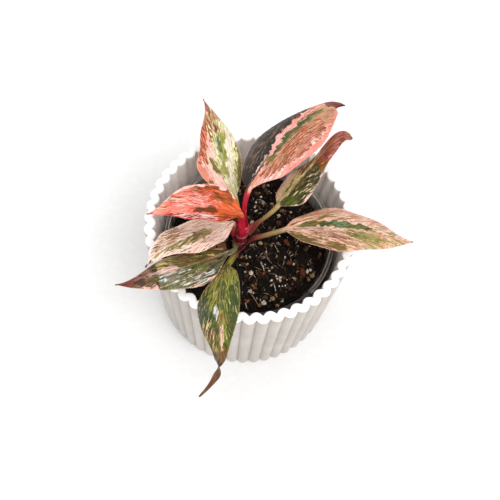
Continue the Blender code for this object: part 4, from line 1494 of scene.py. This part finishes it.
def half_width(leaf, t, v, along, sheath, seed):
    """Half the leaf's width: its stalk runs into the blade, which has ragged margins."""
    slim = STALK_HALF_WIDTH * leaf.stalk_width
    stalk = (slim + (SHEATH_HALF_WIDTH - slim) * sheath) * (1 - t) ** STALK_FADE
    half = np.hypot(stalk, blade_outline(leaf, t)) + TIP_HALF_WIDTH * t
    rag = uneven(along / RAG_SIZE * 2 * math.pi, seed + RAG_SHIFT * np.sign(v))
    half = half * (1 + RAG_HEIGHT * rag * ramp(t, *RAG_RISE))
    return half * (1 + abs(leaf.lobe) * lobe_share(t) * (v * leaf.lobe > 0))


def fold_angle(leaf, t, s, sheath):
    """How far the two halves of the leaf are folded up."""
    wrap = SHEATH_FOLD * ramp(s, *SHEATH_FOLD_RISE) * (1 - ramp(s, *SHEATH_FOLD_FALL))
    wrap += SHEATH_FOOT_FOLD * sheath
    return np.radians(leaf.fold * (1 - FOLD_FADE * t) * s + wrap)


def blade_rise(leaf, t, v, half, fold, ease):
    """How far the blade rises above its midrib's level: its fold, its arch and its waves."""
    wave = WAVE_HEIGHT * ease * half / (leaf.width / 2)
    wave = wave * np.sin(2 * math.pi * leaf.waves * t + WAVE_SLANT * v) * v * v
    return abs(half * v) * np.sin(fold) - leaf.arch * ease * half * v * v + wave


def leaf_surface(leaf, seed):
    """Upper and lower points of each ring from the right margin to the left one, and where
    each lies on the leaf: its share of the length and width, and its place on the flat leaf."""
    line, left, normal, t, s = leaf_stations(leaf)
    t, s = t[:, None], s[:, None]
    v = np.linspace(-1, 1, ACROSS + 1)[None, :]
    sheath = 1 - ramp(s, *SHEATH_SPAN)
    ease = ramp(t, 0, BLADE_EASE)
    along = t * leaf.length + (s - 1) * np.linalg.norm(line[STALK_STATIONS] - line[0])
    half = half_width(leaf, t, v, along, sheath, seed)
    across = half * v
    fold = fold_angle(leaf, t, s, sheath)
    rise = blade_rise(leaf, t, v, half, fold, ease)
    lean = LOOKS[leaf.name].vein_lean
    slope = math.hypot(1, lean)
    vein = (along - lean * abs(across) - VEIN_BEND * across**2) / slope
    quilt = QUILT_HEIGHT * ease * np.cos(2 * math.pi * vein / QUILT_SPACING)
    quilt = quilt * np.sin(math.pi * abs(v))
    rib = np.exp(-((across / RIB_HALF_WIDTH) ** 2))
    groove = GROOVE_DEPTH * np.exp(-((across / GROOVE_HALF_WIDTH) ** 2)) * ease * (1 - t)
    crown = STALK_CROWN * (1 - sheath * SHEATH_THINNING) * (1 - ramp(t, 0, STALK_CROWN_END))
    thick = MARGIN_THICKNESS + (BLADE_THICKNESS - MARGIN_THICKNESS) * (1 - v**MARGIN_SHARPNESS)
    depth = STALK_DEPTH * (1 - SHEATH_THINNING * sheath) * (1 - t) ** STALK_FADE
    upper = rise + quilt + thick / 2 + crown * rib - groove
    lower = rise + quilt - thick / 2 - depth * rib
    sideways = across * np.cos(fold) * (1 + leaf.skew * np.sign(v))
    middle = line[:, None, :] + left[:, None, :] * sideways[:, :, None]
    surfaces = [middle + normal[:, None, :] * rise[:, :, None] for rise in (upper, lower)]
    places = [stacked(t + s - 1, v, 1.0 * over) for over in (1, 0)]
    flat = stacked(along / MM, across / MM, SEED_STEP * seed)
    side = SEED_STEP * seed + HALF_STEP * np.sign(v)
    veins = stacked(vein / MM, abs(across) * slope / MM, side)
    return surfaces, places, flat, veins


def stacked(*parts):
    """Vectors from their three parts, each of which may be the same all over."""
    return np.stack(np.broadcast_arrays(*parts), axis=-1)


def sheet_faces(stations, width):
    """Faces of a closed sheet whose upper points come before its lower ones."""
    under = stations * width
    faces = []
    for i in range(stations - 1):
        for j in range(width - 1):
            a = i * width + j
            b, c, d = a + 1, a + width + 1, a + width
            faces.append((a, d, c, b))
            faces.append((under + a, under + b, under + c, under + d))
        right = i * width
        left = right + width - 1
        faces.append((right, under + right, under + right + width, right + width))
        faces.append((left + width, under + left + width, under + left, left))
    last = (stations - 1) * width
    for j in range(width - 1):
        faces.append((j + 1, under + j + 1, under + j, j))
        faces.append((last + j, under + last + j, under + last + j + 1, last + j + 1))
    return faces


def build_leaf(leaf, seed):
    surfaces, places, flat, veins = leaf_surface(leaf, seed)
    points = np.concatenate([surface.reshape(-1, 3) for surface in surfaces])
    faces = sheet_faces(*flat.shape[:2])
    name = leaf.name
    piece = add_piece(name + "_blade", points, faces, leaf_material(leaf), name, name)
    add_values(piece, "blade", "FLOAT_VECTOR", places)
    add_values(piece, "flat", "FLOAT_VECTOR", [flat, flat])
    add_values(piece, "vein", "FLOAT_VECTOR", [veins, veins])
    return piece


@dataclasses.dataclass
class Scrap:
    """A curled strip of dried sheath, its middle resting on the mix."""

    middle: tuple
    length: float
    width: float
    turn: float
    curl: float
    curls: float
    tint: tuple


SCRAPS = (
    Scrap((-0.0130, -0.0070, 0.0508), 0.0085, 0.0050, 20, 0.0009, 1.2, (150, 98, 66)),
    Scrap((-0.0122, -0.0082, 0.0514), 0.0060, 0.0026, 32, 0.0006, 0.9, (206, 164, 124)),
)


def scrap_point(scrap, s, v, lift):
    """A place on the strip: s runs along it from 0 to 1, and v across it from -1 to 1."""
    tear = SCRAP_TEAR[0] * math.sin(SCRAP_TEAR[1] * v + scrap.turn)
    fray = SCRAP_FRAY[0] * math.sin(SCRAP_FRAY[1] * v)
    ragged = tear + fray
    along = (s - 0.5) * scrap.length * (1 + ragged)
    bulge = SCRAP_END_WIDTH + (1 - SCRAP_END_WIDTH) * math.sin(math.pi * s)
    across = v * scrap.width / 2 * bulge
    curl = scrap.curl * (math.sin(2 * math.pi * scrap.curls * s) + v * v)
    turn = math.radians(scrap.turn)
    x = along * math.cos(turn) - across * math.sin(turn)
    y = along * math.sin(turn) + across * math.cos(turn)
    return Vector(scrap.middle) + Vector((x, y, curl + lift))


def build_dried_sheath():
    points, faces, tints, flat = [], [], [], []
    for scrap in SCRAPS:
        start = len(points)
        for lift in (SCRAP_THICKNESS, 0):
            for i in range(SCRAP_STATIONS):
                for j in range(SCRAP_ACROSS):
                    s = i / (SCRAP_STATIONS - 1)
                    v = 2 * j / (SCRAP_ACROSS - 1) - 1
                    points.append(scrap_point(scrap, s, v, lift))
                    flat.append((s * scrap.length / MM, v * scrap.width / MM, scrap.turn))
        sheet = sheet_faces(SCRAP_STATIONS, SCRAP_ACROSS)
        faces += [tuple(start + corner for corner in face) for face in sheet]
        tints += [screen(*scrap.tint)] * (len(points) - start)
    node = "dried_sheath"
    piece = add_piece("dried_sheath_strips", points, faces, scrap_material(), node, node)
    add_values(piece, "tint", "FLOAT_COLOR", tints)
    add_values(piece, "flat", "FLOAT_VECTOR", flat)
    return piece


# Stage


def build_floor():
    x = y = FLOOR_HALF_SIZE
    corners = [(-x, -y, 0), (x, -y, 0), (x, y, 0), (-x, y, 0)]
    add_piece("floor", corners, [(0, 1, 2, 3)], floor_material())


def add_light(name, place, power):
    data = bpy.data.lights.new(name, "AREA")
    data.shape = "DISK"
    data.size = LIGHT_SIZE
    data.energy = power
    light = bpy.data.objects.new(name, data)
    light.location = place
    way = Vector(LIGHT_AIM) - light.location
    light.rotation_euler = way.to_track_quat("-Z", "Y").to_euler()
    bpy.context.scene.collection.objects.link(light)


def add_lights():
    world = bpy.data.worlds.new("studio")
    world.use_nodes = True
    background = world.node_tree.nodes["Background"]
    background.inputs["Color"].default_value = (1.0, 1.0, 1.0, 1.0)
    background.inputs["Strength"].default_value = WORLD_STRENGTH
    bpy.context.scene.world = world
    for name, place, power in LIGHTS:
        add_light(name, place, power)


def add_camera():
    data = bpy.data.cameras.new("camera")
    data.sensor_width = CAMERA_SENSOR
    data.lens = CAMERA_LENS
    data.clip_start = CAMERA_NEAR
    camera = bpy.data.objects.new("camera", data)
    axes = Matrix(camera_axes()).transposed()
    camera.matrix_world = Matrix.Translation(camera_place()) @ axes.to_4x4()
    bpy.context.scene.collection.objects.link(camera)
    bpy.context.scene.camera = camera


def main():
    bpy.context.scene.view_settings.view_transform = "Standard"
    build_floor()
    add_lights()
    add_camera()
    pieces = [build_pot(), build_nursery_pot(), build_soil(), build_stem(), build_dried_sheath()]
    pieces += [build_leaf(leaf, seed) for seed, leaf in enumerate(LEAVES)]
    for piece in pieces:
        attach(piece, BODY)


main()
